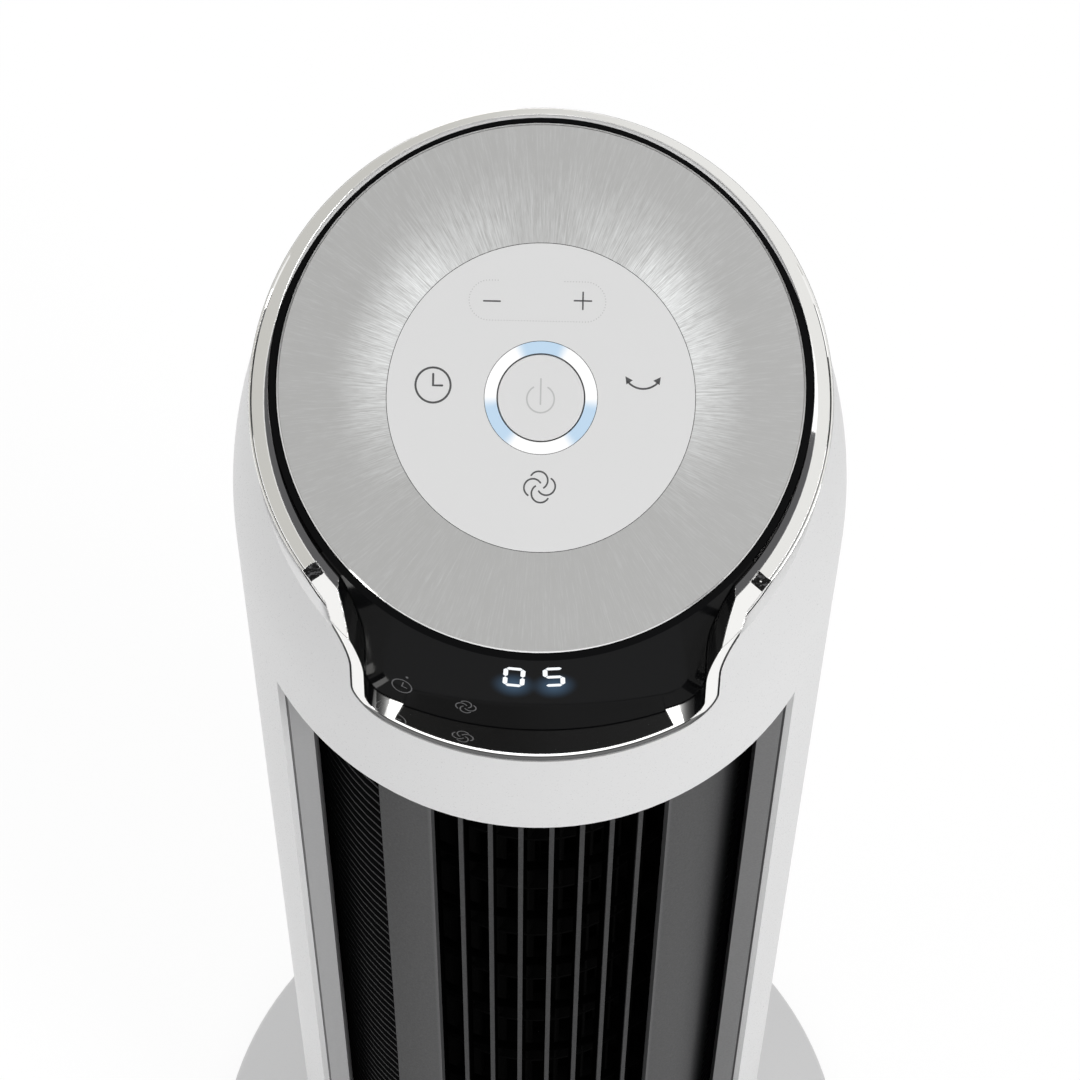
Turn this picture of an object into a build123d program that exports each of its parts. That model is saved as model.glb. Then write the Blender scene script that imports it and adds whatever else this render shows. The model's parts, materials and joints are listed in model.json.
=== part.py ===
"""Tower fan: a round white column on a wide base, with an inner drum that swings from side to side.

Millimetres, +Z up, origin on the floor under the column's axis. The front faces -Y.
"""

import os
from math import asin, atan, cos, degrees, pi, radians, sin, sqrt, tan

from build123d import *

os.makedirs("parts", exist_ok=True)

# Clearances
running_gap = 0.4
fit_gap = 0.2
shaft_gap = 0.05
seat_gap = 0.1
cut_margin = 1.0
join_overlap = 1.0

# Base
base_radius = 155.0
base_edge_height = 16.0
base_top_height = 38.0
base_flat_radius = 78.0
base_bulge = 4.0
base_wall = 3.0
base_plate_thickness = 3.0
foot_count = 6
foot_radius = 10.0
foot_height = 4.0
foot_inset = 18.0
boss_inset = 34.0
boss_radius = 4.5
weight_thickness = 6.0
weight_margin = 14.0
neck_radius = 62.0
neck_height = 8.0
wire_way_radius = 14.0
bolt_circle_radius = 40.0
bolt_count = 4
corner_angle = 45.0

# Column
body_radius = 105.0
body_wall = 2.5
lower_housing_height = 144.0
lower_housing_round = 6.0
floor_thickness = 5.0
opening_height = 740.0
opening_half_angle = 59.3
panel_seam_angle = 125.0
tongue_height = 7.0
tongue_thickness = 2.1
lap_angle = 5.0
deck_thickness = 4.0
deck_drop = 8.0
post_radius = 7.0
post_circle_inset = 9.0
post_count = 4
gland_height = 30.0
gland_radius = 6.5
gland_bore_radius = 3.6
gland_flange = 3.0
gland_length = 16.0
power_board_length = 76.0
power_board_width = 56.0
board_post_x = 30.0
board_post_y = 20.0
board_post_height = 10.0
transformer_length = 26.0
transformer_width = 22.0
transformer_height = 20.0
transformer_x = -15.0
capacitor_radius = 6.0
relay_length = 18.0
relay_width = 10.0
relay_height = 14.0
relay_x = 14.0
relay_y = 10.0

# Grey strips beside the opening
strip_inner_x = 79.3
strip_thickness = 2.0
strip_return = 12.0
strip_hook_angle = 9.0
hook_gap_angle = 2.0

# Rear grille
louvre_pitch = 10.0
louvre_height = 3.0
louvre_depth = 4.0
louvre_inset = 0.5
louvre_rib_count = 7
louvre_band = 36.0
rear_screw_count = 4
grille_edge_angle = 6.5
louvre_lap_angle = 0.5

# Drum
drum_radius = 87.0
drum_rest_angle = 4.5
drum_wall = 2.4
drum_cap_thickness = 4.0
panel_left_angle = 44.6
panel_right_angle = 55.0
outlet_half_angle = 29.5
outlet_lower_margin = 68.0
outlet_upper_margin = 16.0
bar_count = 7
bar_width = 1.8
bar_depth = 6.0
rib_thickness = 1.6
rib_inset = 1.0
frame_border = 4.0
fin_pitch = 10.0
fin_thickness = 2.0
fin_depth = 6.0
guard_rib_count = 9
guard_rib_width = 3.0
drum_post_radius = 4.5
drum_post_inset = 10.0
drum_post_pairs = 2
drum_post_step = 60.0
drum_hub_radius = 18.0
drum_hub_wall = 4.0
bush_wall = 4.0
bush_flange = 8.0
bush_flange_thickness = 2.0
collar_inset = 1.0
pivot_radius = 10.0
pivot_bush_wall = 3.0

# Impeller and its motor
impeller_radius = 62.0
impeller_segment = 64.0
impeller_segment_count = 10
impeller_ring_thickness = 2.0
blade_count = 32
blade_thickness = 1.2
blade_reach = 12.0
blade_curve_radius = 9.0
blade_arc_angle = 75.0
blade_inset = 0.5
impeller_hub_radius = 12.0
impeller_hub_height = 16.0
fan_shaft_radius = 4.0
motor_radius = 40.0
motor_height = 40.0
motor_flange_radius = 50.0
motor_flange_thickness = 3.0
motor_screw_circle_radius = 45.0
motor_screw_count = 3
bearing_wall = 5.0
bearing_length = 12.0
scroll_thickness = 1.8
scroll_gap = 5.0
scroll_throat_angle = 14.0
scroll_wrap_angle = 80.0
stabilizer_tail_angle = 8.0

# Swing drive
gear_module = 1.5
sector_tooth_number = 80
pinion_tooth_number = 16
pressure_angle = 20.0
dedendum_factor = 1.25
tooth_backlash = 0.16
gear_thickness = 5.0
sector_half_angle = 52.0
sector_width = 14.0
swing_motor_radius = 24.0
swing_motor_height = 18.0
swing_shaft_radius = 3.0
swing_ear_reach = 30.0
swing_ear_thickness = 2.5
swing_ear_width = 10.4

# Head
crown_straight_height = 46.0
crown_arc_radius = 462.0
disc_centre_height = 147.5
disc_tilt = 21.5
disc_radius = 86.8
disc_thickness = 2.0
disc_edge = 0.7
rim_radius = 89.4
rim_drop = 1.2
bezel_radius = 96.0
bezel_offset = 4.2
bezel_height = 1.4
bezel_band = 5.2
bezel_slope = 35.0
bezel_depth = 6.0
bezel_inset = 0.35
bezel_groove = 0.6
bezel_flange = 6.0
bezel_side = 4.7
bezel_lip = 3.6
lip_width = 2.0
gutter_slope = 14.0
gutter_half_angle = 27.0
gutter_depth = 22.0
scoop_half_width = 61.4
scoop_bottom_height = 72.0
scoop_corner = 13.0
scoop_flare = 32.5
scoop_flare_height = 99.0
scoop_outer_turn = 62.0
scoop_inner_turn = 47.0
window_angle = 36.3
window_depth = 39.0
window_half_angle = 52.0
cowl_wall = 2.5
panel_radius = 50.6
panel_offset = 3.1
ring_outer_radius = 18.5
ring_inner_radius = 14.6
button_radius = 14.1
button_proud = 0.3
button_travel = 1.0
button_flange = 2.4
button_flange_thickness = 1.4
button_stem_radius = 3.5
leg_radius = 5.0
leg_circle_radius = 64.0
leg_rear_angle = 25.0
leg_front_angle = 35.0
board_thickness = 1.6
board_radius = 42.0
board_standoff = 8.0
standoff_radius = 3.0
standoff_count = 4
switch_size = 12.0
display_width = 44.0
display_height = 18.0
display_depth = 6.0
display_drop = 12.0
display_recess = 5.6
display_board_margin = 6.0

# Fasteners
screw_head_radius = 3.3
screw_head_height = 2.2
screw_radius = 1.6
screw_grip = 11.0
bolt_head_radius = 5.0
bolt_head_height = 4.0
bolt_radius = 2.5

# Heights and radii that follow
front_angle = -90.0
base_plate_top = foot_height + base_plate_thickness
housing_bottom = base_top_height + neck_height
housing_top = housing_bottom + lower_housing_height
band_height = housing_top + opening_height
inner_radius = body_radius - body_wall
post_circle_radius = body_radius - post_circle_inset
lower_deck_bottom = housing_top - deck_drop - deck_thickness
lower_deck_top = housing_top - deck_drop
upper_deck_bottom = band_height + deck_thickness
upper_deck_top = upper_deck_bottom + deck_thickness
drum_cap_bottom = housing_top
drum_bottom = drum_cap_bottom + drum_cap_thickness
drum_top = band_height - drum_cap_thickness - bush_flange_thickness
drum_height = drum_top - drum_bottom
drum_cap_top = drum_top + drum_cap_thickness
drum_front_angle = front_angle + drum_rest_angle
drum_inner_radius = drum_radius - drum_wall
outlet_bottom = drum_bottom + outlet_lower_margin
outlet_top = drum_top - outlet_upper_margin
impeller_bottom = outlet_bottom
impeller_top = impeller_bottom + impeller_segment_count * impeller_segment + impeller_ring_thickness
big = 3 * body_radius


def level(height):
    """Horizontal plane at a height."""
    return Plane.XY.offset(height)


def polar_point(radius, angle):
    """Point at a radius and an angle about the axis."""
    return (radius * cos(radians(angle)), radius * sin(radians(angle)))


def ring_points(radius, count, start_angle):
    """Evenly spaced points on a circle about the axis."""
    return [polar_point(radius, start_angle + 360 * step / count) for step in range(count)]


def planes_up(points, height):
    """Planes that face up at each point."""
    return [Plane(origin=(x, y, height)) for x, y in points]


def planes_down(points, height):
    """Planes that face down at each point."""
    return [Plane(origin=(x, y, height), z_dir=(0, 0, -1)) for x, y in points]


def radial_plane(angle):
    """Upright plane through the axis, its X pointing outward at the angle and its Y upward."""
    a = radians(angle)
    return Plane(origin=(0, 0, 0), x_dir=(cos(a), sin(a), 0), z_dir=(sin(a), -cos(a), 0))


def outward_plane(angle, radius, height):
    """Plane square to the radius at an angle, facing outward."""
    a = radians(angle)
    return Plane(
        origin=(radius * cos(a), radius * sin(a), height),
        x_dir=(-sin(a), cos(a), 0),
        z_dir=(cos(a), sin(a), 0),
    )


def ring_sector(inner, outer, start_angle, arc_angle):
    """Adds the face between two arcs about the origin to the open sketch."""
    with BuildLine() as outline:
        inner_arc = CenterArc((0, 0), inner, start_angle, arc_angle)
        outer_arc = CenterArc((0, 0), outer, start_angle, arc_angle)
        Line(inner_arc @ 0, outer_arc @ 0)
        Line(inner_arc @ 1, outer_arc @ 1)
    make_face(outline.edges())


def add_screws(planes, head_radius, head_height, shank_radius, shank_length):
    """Adds a screw at each plane to the open part: its head above the plane, its shank below."""
    with BuildSketch(*planes) as heads:
        Circle(head_radius)
    extrude(heads.sketch, amount=head_height)
    with BuildSketch(*planes) as shanks:
        Circle(shank_radius)
    extrude(shanks.sketch, amount=-shank_length)


def cut_holes(planes, radius, depth):
    """Drills a hole down from each plane in the open part."""
    with BuildSketch(*planes) as holes:
        Circle(radius)
    extrude(holes.sketch, amount=-depth, mode=Mode.SUBTRACT)


def save(builder, name):
    """Labels a finished piece and writes it."""
    builder.part.label = name
    export_step(builder.part, f"parts/{name}.step")


# Base: cover, plate, weight, feet, neck and their fasteners
base_hole_radius = screw_radius + fit_gap
base_boss_points = ring_points(base_radius - boss_inset, foot_count, front_angle + 180 / foot_count)
foot_points = ring_points(base_radius - foot_inset, foot_count, front_angle)
bolt_points = ring_points(bolt_circle_radius, bolt_count, corner_angle)


def dome_face(radius, edge_height, flat_radius, top_height):
    """Adds half of the base's section, from the foot plane up, to the open sketch."""
    middle_radius = (radius + flat_radius) / 2
    middle_height = (edge_height + top_height) / 2
    with BuildLine() as outline:
        Polyline((0, foot_height), (radius, foot_height), (radius, edge_height))
        ThreePointArc(
            (radius, edge_height),
            (middle_radius, middle_height + base_bulge),
            (flat_radius, top_height),
        )
        Polyline((flat_radius, top_height), (0, top_height), (0, foot_height))
    make_face(outline.edges())


with BuildPart() as base_inside:
    with BuildSketch(Plane.XZ):
        dome_face(
            base_radius - base_wall,
            base_edge_height - base_wall,
            base_flat_radius,
            base_top_height - base_wall,
        )
    revolve(axis=Axis.Z)

with BuildPart() as base_bosses:
    with BuildSketch(*planes_up(base_boss_points, base_plate_top)):
        Circle(boss_radius)
    extrude(amount=base_top_height - base_plate_top)
    add(base_inside.part, mode=Mode.INTERSECT)

with BuildPart() as base_cover:
    with BuildSketch(Plane.XZ) as dome:
        dome_face(base_radius, base_edge_height, base_flat_radius, base_top_height)
        fillet(dome.vertices().sort_by_distance((base_radius, base_edge_height))[0], base_wall)
    revolve(axis=Axis.Z)
    add(base_inside.part, mode=Mode.SUBTRACT)
    add(base_bosses.part)
    cut_holes([level(base_top_height)], wire_way_radius, base_wall)
    cut_holes(planes_up(bolt_points, base_top_height), bolt_radius + fit_gap, base_wall)
    cut_holes(planes_down(base_boss_points, base_plate_top), screw_radius + shaft_gap, screw_grip)
save(base_cover, "base_cover")

with BuildPart() as base_plate:
    with BuildSketch(level(foot_height)):
        Circle(base_radius - base_wall - fit_gap)
    extrude(amount=base_plate_thickness)
    cut_holes(planes_up(base_boss_points, base_plate_top), base_hole_radius, base_plate_thickness)
    cut_holes(planes_down(base_boss_points, foot_height), screw_head_radius + fit_gap, screw_head_height)
save(base_plate, "base_plate")

with BuildPart() as base_screws:
    add_screws(
        planes_down(base_boss_points, foot_height + screw_head_height),
        screw_head_radius,
        screw_head_height,
        screw_radius,
        screw_grip,
    )
save(base_screws, "base_screws")

with BuildPart() as base_weight:
    with BuildSketch(level(base_plate_top)):
        Circle(base_radius - boss_inset - weight_margin)
        Circle(bolt_circle_radius - weight_margin, mode=Mode.SUBTRACT)
    extrude(amount=weight_thickness)
save(base_weight, "base_weight")

with BuildPart() as rubber_feet:
    with BuildSketch(*planes_up(foot_points, 0)):
        Circle(foot_radius)
    extrude(amount=foot_height)
    fillet(rubber_feet.edges().group_by(Axis.Z)[0], foot_height / 4)
save(rubber_feet, "rubber_feet")

with BuildPart() as base_neck:
    with BuildSketch(level(base_top_height)):
        Circle(neck_radius)
        Circle(wire_way_radius, mode=Mode.SUBTRACT)
    extrude(amount=neck_height)
    cut_holes(planes_up(bolt_points, housing_bottom), bolt_radius + fit_gap, neck_height)
save(base_neck, "base_neck")

with BuildPart() as column_bolts:
    bolt_seat = base_top_height - base_wall
    add_screws(
        planes_down(bolt_points, bolt_seat),
        bolt_head_radius,
        bolt_head_height,
        bolt_radius,
        base_wall + neck_height + floor_thickness,
    )
save(column_bolts, "column_bolts")

# Lower housing, its cord gland, power board and deck
post_points = ring_points(post_circle_radius, post_count, corner_angle)
housing_floor_top = housing_bottom + floor_thickness
gland_centre_height = housing_bottom + gland_height
gland_plane = outward_plane(-front_angle, body_radius, gland_centre_height)
board_post_points = [(x, y) for x in (-board_post_x, board_post_x) for y in (-board_post_y, board_post_y)]
board_screw_length = board_post_height / 2
power_board_bottom = housing_floor_top + board_post_height
power_board_top = power_board_bottom + board_thickness
pinion_pitch_radius = gear_module * pinion_tooth_number / 2
sector_pitch_radius = gear_module * sector_tooth_number / 2
swing_point = (0, pinion_pitch_radius + sector_pitch_radius)
ear_points = [(swing_ear_reach, swing_point[1]), (-swing_ear_reach, swing_point[1])]
bush_outer_radius = drum_hub_radius + shaft_gap + bush_wall
lower_bush_top = lower_deck_top + bush_flange_thickness

with BuildPart() as lower_housing:
    with BuildSketch(level(housing_bottom)):
        Circle(body_radius)
    extrude(amount=lower_housing_height)
    fillet(lower_housing.edges().group_by(Axis.Z)[0], lower_housing_round)
    with BuildSketch(level(housing_floor_top)):
        Circle(inner_radius)
    extrude(amount=lower_housing_height, mode=Mode.SUBTRACT)
    with BuildSketch(*planes_up(post_points, housing_floor_top)):
        Circle(post_radius)
    extrude(amount=lower_deck_bottom - housing_floor_top)
    with BuildSketch(*planes_up(board_post_points, housing_floor_top)):
        Circle(standoff_radius)
    extrude(amount=board_post_height)
    cut_holes([level(housing_floor_top)], wire_way_radius, floor_thickness)
    cut_holes(planes_up(bolt_points, housing_floor_top), bolt_radius + shaft_gap, floor_thickness)
    cut_holes(planes_up(post_points, lower_deck_bottom), screw_radius + shaft_gap, screw_grip)
    cut_holes(planes_up(board_post_points, power_board_bottom), screw_radius + shaft_gap, board_screw_length)
    cut_holes([gland_plane], gland_radius + fit_gap, 2 * body_wall)
save(lower_housing, "lower_housing")

with BuildPart() as cord_gland:
    with BuildSketch(gland_plane):
        Circle(gland_radius)
    extrude(amount=-gland_length)
    with BuildSketch(gland_plane):
        Circle(gland_radius + gland_flange)
    extrude(amount=gland_flange)
    fillet(cord_gland.edges().group_by(Axis.Y)[-1], gland_flange / 3)
    cut_holes([gland_plane.offset(gland_flange)], gland_bore_radius, gland_length + gland_flange)
save(cord_gland, "cord_gland")

with BuildPart() as power_board:
    with BuildSketch(level(power_board_bottom)):
        Rectangle(power_board_length, power_board_width)
    extrude(amount=board_thickness)
    with BuildSketch(level(power_board_top)):
        with Locations((transformer_x, 0)):
            Rectangle(transformer_length, transformer_width)
    extrude(amount=transformer_height)
    with BuildSketch(level(power_board_top)):
        with Locations((relay_x, relay_y)):
            Circle(capacitor_radius)
        with Locations((relay_x, -relay_y)):
            Rectangle(relay_length, relay_width)
    extrude(amount=relay_height)
    cut_holes(planes_up(board_post_points, power_board_top), screw_radius + fit_gap, board_thickness)
save(power_board, "power_board")

with BuildPart() as power_board_screws:
    add_screws(
        planes_up(board_post_points, power_board_top),
        screw_head_radius,
        screw_head_height,
        screw_radius,
        board_thickness + board_screw_length,
    )
save(power_board_screws, "power_board_screws")

with BuildPart() as lower_deck:
    with BuildSketch(level(lower_deck_bottom)):
        Circle(inner_radius - fit_gap)
        Circle(bush_outer_radius + shaft_gap, mode=Mode.SUBTRACT)
        with Locations(swing_point):
            Circle(2 * swing_shaft_radius, mode=Mode.SUBTRACT)
    extrude(amount=deck_thickness)
    cut_holes(planes_up(post_points, lower_deck_top), screw_radius + fit_gap, deck_thickness)
    cut_holes(planes_up(ear_points, lower_deck_top), screw_radius + shaft_gap, deck_thickness)
save(lower_deck, "lower_deck")

with BuildPart() as lower_deck_screws:
    add_screws(
        planes_up(post_points, lower_deck_top),
        screw_head_radius,
        screw_head_height,
        screw_radius,
        deck_thickness + screw_grip,
    )
save(lower_deck_screws, "lower_deck_screws")

with BuildPart() as lower_bush:
    with BuildSketch(level(lower_deck_bottom - deck_thickness)):
        Circle(bush_outer_radius)
    extrude(amount=2 * deck_thickness)
    with BuildSketch(level(lower_deck_top)):
        Circle(bush_outer_radius + bush_flange)
    extrude(amount=bush_flange_thickness)
    cut_holes([level(lower_bush_top)], drum_hub_radius + shaft_gap, big)
save(lower_bush, "lower_bush")


# Swing drive: motor, shaft, pinion and toothed sector
def tooth_half_angle(teeth, radius):
    """Half of an involute tooth's angle at a radius, in radians."""
    pitch_radius = gear_module * teeth / 2
    base_circle = pitch_radius * cos(radians(pressure_angle))
    involute_at_pitch = tan(radians(pressure_angle)) - radians(pressure_angle)
    slope = sqrt(max((radius / base_circle) ** 2 - 1, 0))
    thickness_angle = pi / (2 * teeth) - tooth_backlash / (2 * pitch_radius)
    return thickness_angle + involute_at_pitch - (slope - atan(slope))


def tooth_face(teeth):
    """Face of one gear tooth that points along +X, rooted inside its root circle."""
    pitch_radius = gear_module * teeth / 2
    tip = pitch_radius + gear_module
    root = pitch_radius - dedendum_factor * gear_module
    start = max(pitch_radius * cos(radians(pressure_angle)), root)
    foot = root - gear_module / 2

    def at(radius, angle):
        """Point at a radius and an angle in radians."""
        return (radius * cos(angle), radius * sin(angle))

    start_angle = tooth_half_angle(teeth, start)
    middle = (start + tip) / 2
    middle_angle = tooth_half_angle(teeth, middle)
    tip_angle = tooth_half_angle(teeth, tip)
    with BuildSketch() as tooth:
        with BuildLine():
            Line(at(foot, -start_angle), at(start, -start_angle))
            ThreePointArc(at(start, -start_angle), at(middle, -middle_angle), at(tip, -tip_angle))
            ThreePointArc(at(tip, -tip_angle), at(tip, 0), at(tip, tip_angle))
            ThreePointArc(at(tip, tip_angle), at(middle, middle_angle), at(start, start_angle))
            Line(at(start, start_angle), at(foot, start_angle))
            Line(at(foot, start_angle), at(foot, -start_angle))
        make_face()
    return tooth.face()


gear_top = drum_cap_bottom
gear_bottom = gear_top - gear_thickness
pinion_top = gear_top - running_gap
pinion_bottom = pinion_top - gear_thickness
sector_root_radius = sector_pitch_radius - dedendum_factor * gear_module
pinion_root_radius = pinion_pitch_radius - dedendum_factor * gear_module
sector_pitch_angle = 360 / sector_tooth_number
sector_tooth_pairs = int(sector_half_angle / sector_pitch_angle)
sector_inner_radius = sector_root_radius - sector_width
sector_tooth = tooth_face(sector_tooth_number)
pinion_tooth = tooth_face(pinion_tooth_number)

with BuildPart() as drive_sector:
    with BuildSketch(level(gear_bottom)):
        ring_sector(sector_inner_radius, sector_root_radius, 90 - sector_half_angle, 2 * sector_half_angle)
        for step in range(-sector_tooth_pairs, sector_tooth_pairs):
            add(sector_tooth, rotation=90 + (step + 0.5) * sector_pitch_angle)
    extrude(amount=gear_thickness)
save(drive_sector, "drive_sector")

with BuildPart() as drive_pinion:
    with BuildSketch(Plane(origin=(*swing_point, pinion_bottom))):
        Circle(pinion_root_radius)
        for step in range(pinion_tooth_number):
            add(pinion_tooth, rotation=-90 + step * 360 / pinion_tooth_number)
        Circle(swing_shaft_radius, mode=Mode.SUBTRACT)
    extrude(amount=gear_thickness)
save(drive_pinion, "drive_pinion")

with BuildPart() as swing_motor:
    motor_top_plane = Plane(origin=(*swing_point, lower_deck_bottom))
    with BuildSketch(motor_top_plane):
        Circle(swing_motor_radius)
    extrude(amount=-swing_motor_height)
    fillet(swing_motor.edges().group_by(Axis.Z)[0], swing_ear_thickness / 2)
    with BuildSketch(motor_top_plane):
        SlotCenterToCenter(2 * swing_ear_reach, swing_ear_width)
    extrude(amount=-swing_ear_thickness)
    cut_holes([motor_top_plane], swing_shaft_radius + shaft_gap, swing_motor_height - swing_ear_thickness)
    cut_holes(planes_up(ear_points, lower_deck_bottom), screw_radius + fit_gap, swing_ear_thickness)
save(swing_motor, "swing_motor")

with BuildPart() as swing_motor_screws:
    add_screws(
        planes_down(ear_points, lower_deck_bottom - swing_ear_thickness),
        screw_head_radius,
        screw_head_height,
        screw_radius,
        swing_ear_thickness + deck_thickness,
    )
save(swing_motor_screws, "swing_motor_screws")

with BuildPart() as swing_shaft:
    swing_shaft_bottom = lower_deck_bottom - swing_motor_height + 2 * swing_ear_thickness
    with BuildSketch(Plane(origin=(*swing_point, swing_shaft_bottom))):
        Circle(swing_shaft_radius)
    extrude(amount=pinion_top - swing_shaft_bottom)
save(swing_shaft, "swing_shaft")

# Drum: caps, front panel, outlet grille, intake guard and air walls
drum_post_circle_radius = drum_radius - drum_post_inset
drum_rear_angle = drum_front_angle + 180
drum_post_steps = range(-drum_post_pairs, drum_post_pairs + 1)
drum_post_angles = [drum_rear_angle + step * drum_post_step for step in drum_post_steps]
drum_post_points = [polar_point(drum_post_circle_radius, angle) for angle in drum_post_angles]
motor_screw_points = ring_points(motor_screw_circle_radius, motor_screw_count, drum_front_angle)
collar_bottom = lower_bush_top + seat_gap
pivot_bush_radius = pivot_radius + shaft_gap + pivot_bush_wall
bearing_radius = fan_shaft_radius + shaft_gap + bearing_wall
bearing_top = drum_top - fin_thickness
bearing_bottom = bearing_top - bearing_length
pivot_bush_bottom = drum_top - fin_thickness / 2
hub_top = upper_deck_bottom - 2 * running_gap
drum_hole_radius = screw_radius + fit_gap
screw_recess_radius = screw_head_radius + fit_gap

with BuildPart() as drum_bottom_cap:
    with BuildSketch(level(drum_cap_bottom)):
        Circle(drum_radius)
    extrude(amount=drum_cap_thickness)
    with BuildSketch(level(collar_bottom)):
        Circle(bush_outer_radius + bush_flange - collar_inset)
    extrude(amount=drum_cap_bottom - collar_bottom)
    with BuildSketch(level(lower_deck_bottom - deck_thickness)):
        Circle(drum_hub_radius)
    extrude(amount=drum_cap_bottom - lower_deck_bottom + deck_thickness)
    cut_holes([level(drum_bottom)], drum_hub_radius - drum_hub_wall, big)
    cut_holes(planes_up(drum_post_points, drum_bottom), drum_hole_radius, drum_cap_thickness)
    cut_holes(planes_down(drum_post_points, drum_cap_bottom), screw_recess_radius, screw_head_height)
    cut_holes(planes_up(motor_screw_points, drum_bottom), screw_radius + shaft_gap, drum_cap_thickness)
save(drum_bottom_cap, "drum_bottom_cap")

with BuildPart() as drum_top_cap:
    with BuildSketch(level(drum_top)):
        Circle(drum_radius)
    extrude(amount=drum_cap_thickness)
    with BuildSketch(level(bearing_bottom)):
        Circle(pivot_bush_radius + drum_hub_wall)
    extrude(amount=hub_top - bearing_bottom)
    cut_holes([level(hub_top)], pivot_bush_radius, hub_top - pivot_bush_bottom)
    cut_holes([level(bearing_top)], bearing_radius, bearing_length)
    cut_holes(planes_up(drum_post_points, drum_cap_top), drum_hole_radius, drum_cap_thickness)
    cut_holes(planes_up(drum_post_points, drum_cap_top), screw_recess_radius, screw_head_height)
save(drum_top_cap, "drum_top_cap")

with BuildPart() as drum_screws:
    add_screws(
        planes_up(drum_post_points, drum_cap_top - screw_head_height),
        screw_head_radius,
        screw_head_height,
        screw_radius,
        screw_grip,
    )
    add_screws(
        planes_down(drum_post_points, drum_cap_bottom + screw_head_height),
        screw_head_radius,
        screw_head_height,
        screw_radius,
        screw_grip,
    )
save(drum_screws, "drum_screws")

panel_edge_angle = drum_front_angle - panel_left_angle
panel_arc = panel_left_angle + panel_right_angle
outlet_edge_angle = drum_front_angle - outlet_half_angle
outlet_arc = 2 * outlet_half_angle
with BuildPart() as drum_front_panel:
    with BuildSketch(level(drum_bottom)):
        ring_sector(drum_inner_radius, drum_radius, panel_edge_angle, panel_arc)
    extrude(amount=drum_height)
    with BuildSketch(level(outlet_bottom)):
        ring_sector(drum_inner_radius - cut_margin, drum_radius + cut_margin, outlet_edge_angle, outlet_arc)
    extrude(amount=outlet_top - outlet_bottom, mode=Mode.SUBTRACT)
save(drum_front_panel, "drum_front_panel")

frame_angle = degrees(frame_border / drum_radius)
frame_outer_radius = drum_inner_radius - fit_gap
frame_inner_radius = frame_outer_radius - drum_wall
frame_bottom = outlet_bottom - frame_border
frame_height = outlet_top - outlet_bottom + 2 * frame_border
frame_half_angle = outlet_half_angle + frame_angle
frame_edge_angle = drum_front_angle - frame_half_angle
bar_pitch = outlet_arc / (bar_count + 1)
bar_angles = [outlet_edge_angle + bar_pitch * (step + 1) for step in range(bar_count)]
bar_outer_radius = drum_radius - 2 * running_gap
bar_middle_radius = bar_outer_radius - bar_depth / 2
bar_inner_radius = bar_outer_radius - bar_depth
rib_count = int((outlet_top - outlet_bottom) / impeller_segment)
rib_heights = [outlet_bottom + impeller_segment * (step + 0.5) for step in range(rib_count)]
with BuildPart() as outlet_grille:
    with BuildSketch(level(frame_bottom)):
        ring_sector(frame_inner_radius, frame_outer_radius, frame_edge_angle, 2 * frame_half_angle)
    extrude(amount=frame_height)
    with BuildSketch(level(outlet_bottom)):
        ring_sector(
            frame_inner_radius - cut_margin,
            frame_outer_radius + cut_margin,
            outlet_edge_angle,
            outlet_arc,
        )
    extrude(amount=outlet_top - outlet_bottom, mode=Mode.SUBTRACT)
    with BuildSketch(*[level(height) for height in rib_heights]):
        ring_sector(bar_inner_radius, frame_outer_radius - rib_inset, frame_edge_angle, 2 * frame_half_angle)
    extrude(amount=rib_thickness)
    with BuildSketch(level(outlet_bottom + fit_gap)):
        for angle in bar_angles:
            with Locations(polar_point(bar_middle_radius, angle)):
                Rectangle(bar_depth, bar_width, rotation=angle)
    extrude(amount=outlet_top - outlet_bottom - 2 * fit_gap)
save(outlet_grille, "outlet_grille")

guard_gap_angle = degrees(fit_gap / drum_radius)
guard_start_angle = drum_front_angle + panel_right_angle + guard_gap_angle
guard_arc = 360 - panel_arc - 2 * guard_gap_angle
guard_inner_radius = drum_radius - fin_depth
rib_width_angle = degrees(guard_rib_width / guard_inner_radius)
guard_rib_step = (guard_arc - rib_width_angle) / (guard_rib_count - 1)
fin_count = int(drum_height / fin_pitch)
fin_margin = (drum_height - (fin_count - 1) * fin_pitch - fin_thickness) / 2
guard_post_height = 2 * screw_grip
with BuildPart() as drum_guard:
    with BuildSketch(level(drum_bottom)):
        for step in range(guard_rib_count):
            ring_sector(
                guard_inner_radius - drum_wall,
                guard_inner_radius + drum_wall,
                guard_start_angle + step * guard_rib_step,
                rib_width_angle,
            )
        for edge_angle in (guard_start_angle - frame_angle, guard_start_angle + guard_arc - frame_angle):
            ring_sector(guard_inner_radius, drum_inner_radius - fit_gap, edge_angle, 2 * frame_angle)
    extrude(amount=drum_height)
    with BuildSketch(*[level(drum_bottom + fin_margin + fin_pitch * step) for step in range(fin_count)]):
        ring_sector(guard_inner_radius, drum_radius, guard_start_angle, guard_arc)
    extrude(amount=fin_thickness)
    with BuildSketch(
        *planes_up(drum_post_points, drum_bottom),
        *planes_up(drum_post_points, drum_top - guard_post_height),
    ):
        Circle(drum_post_radius)
    extrude(amount=guard_post_height)
    cut_holes(planes_up(drum_post_points, drum_top), screw_radius + shaft_gap, screw_grip)
    cut_holes(planes_down(drum_post_points, drum_bottom), screw_radius + shaft_gap, screw_grip)
save(drum_guard, "drum_guard")

scroll_outer_radius = guard_inner_radius - drum_wall - fit_gap
scroll_inner_radius = impeller_radius + scroll_gap


def drum_point(radius, angle):
    """Point at a radius and an angle from the drum's front."""
    return polar_point(radius, drum_front_angle + angle)


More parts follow.
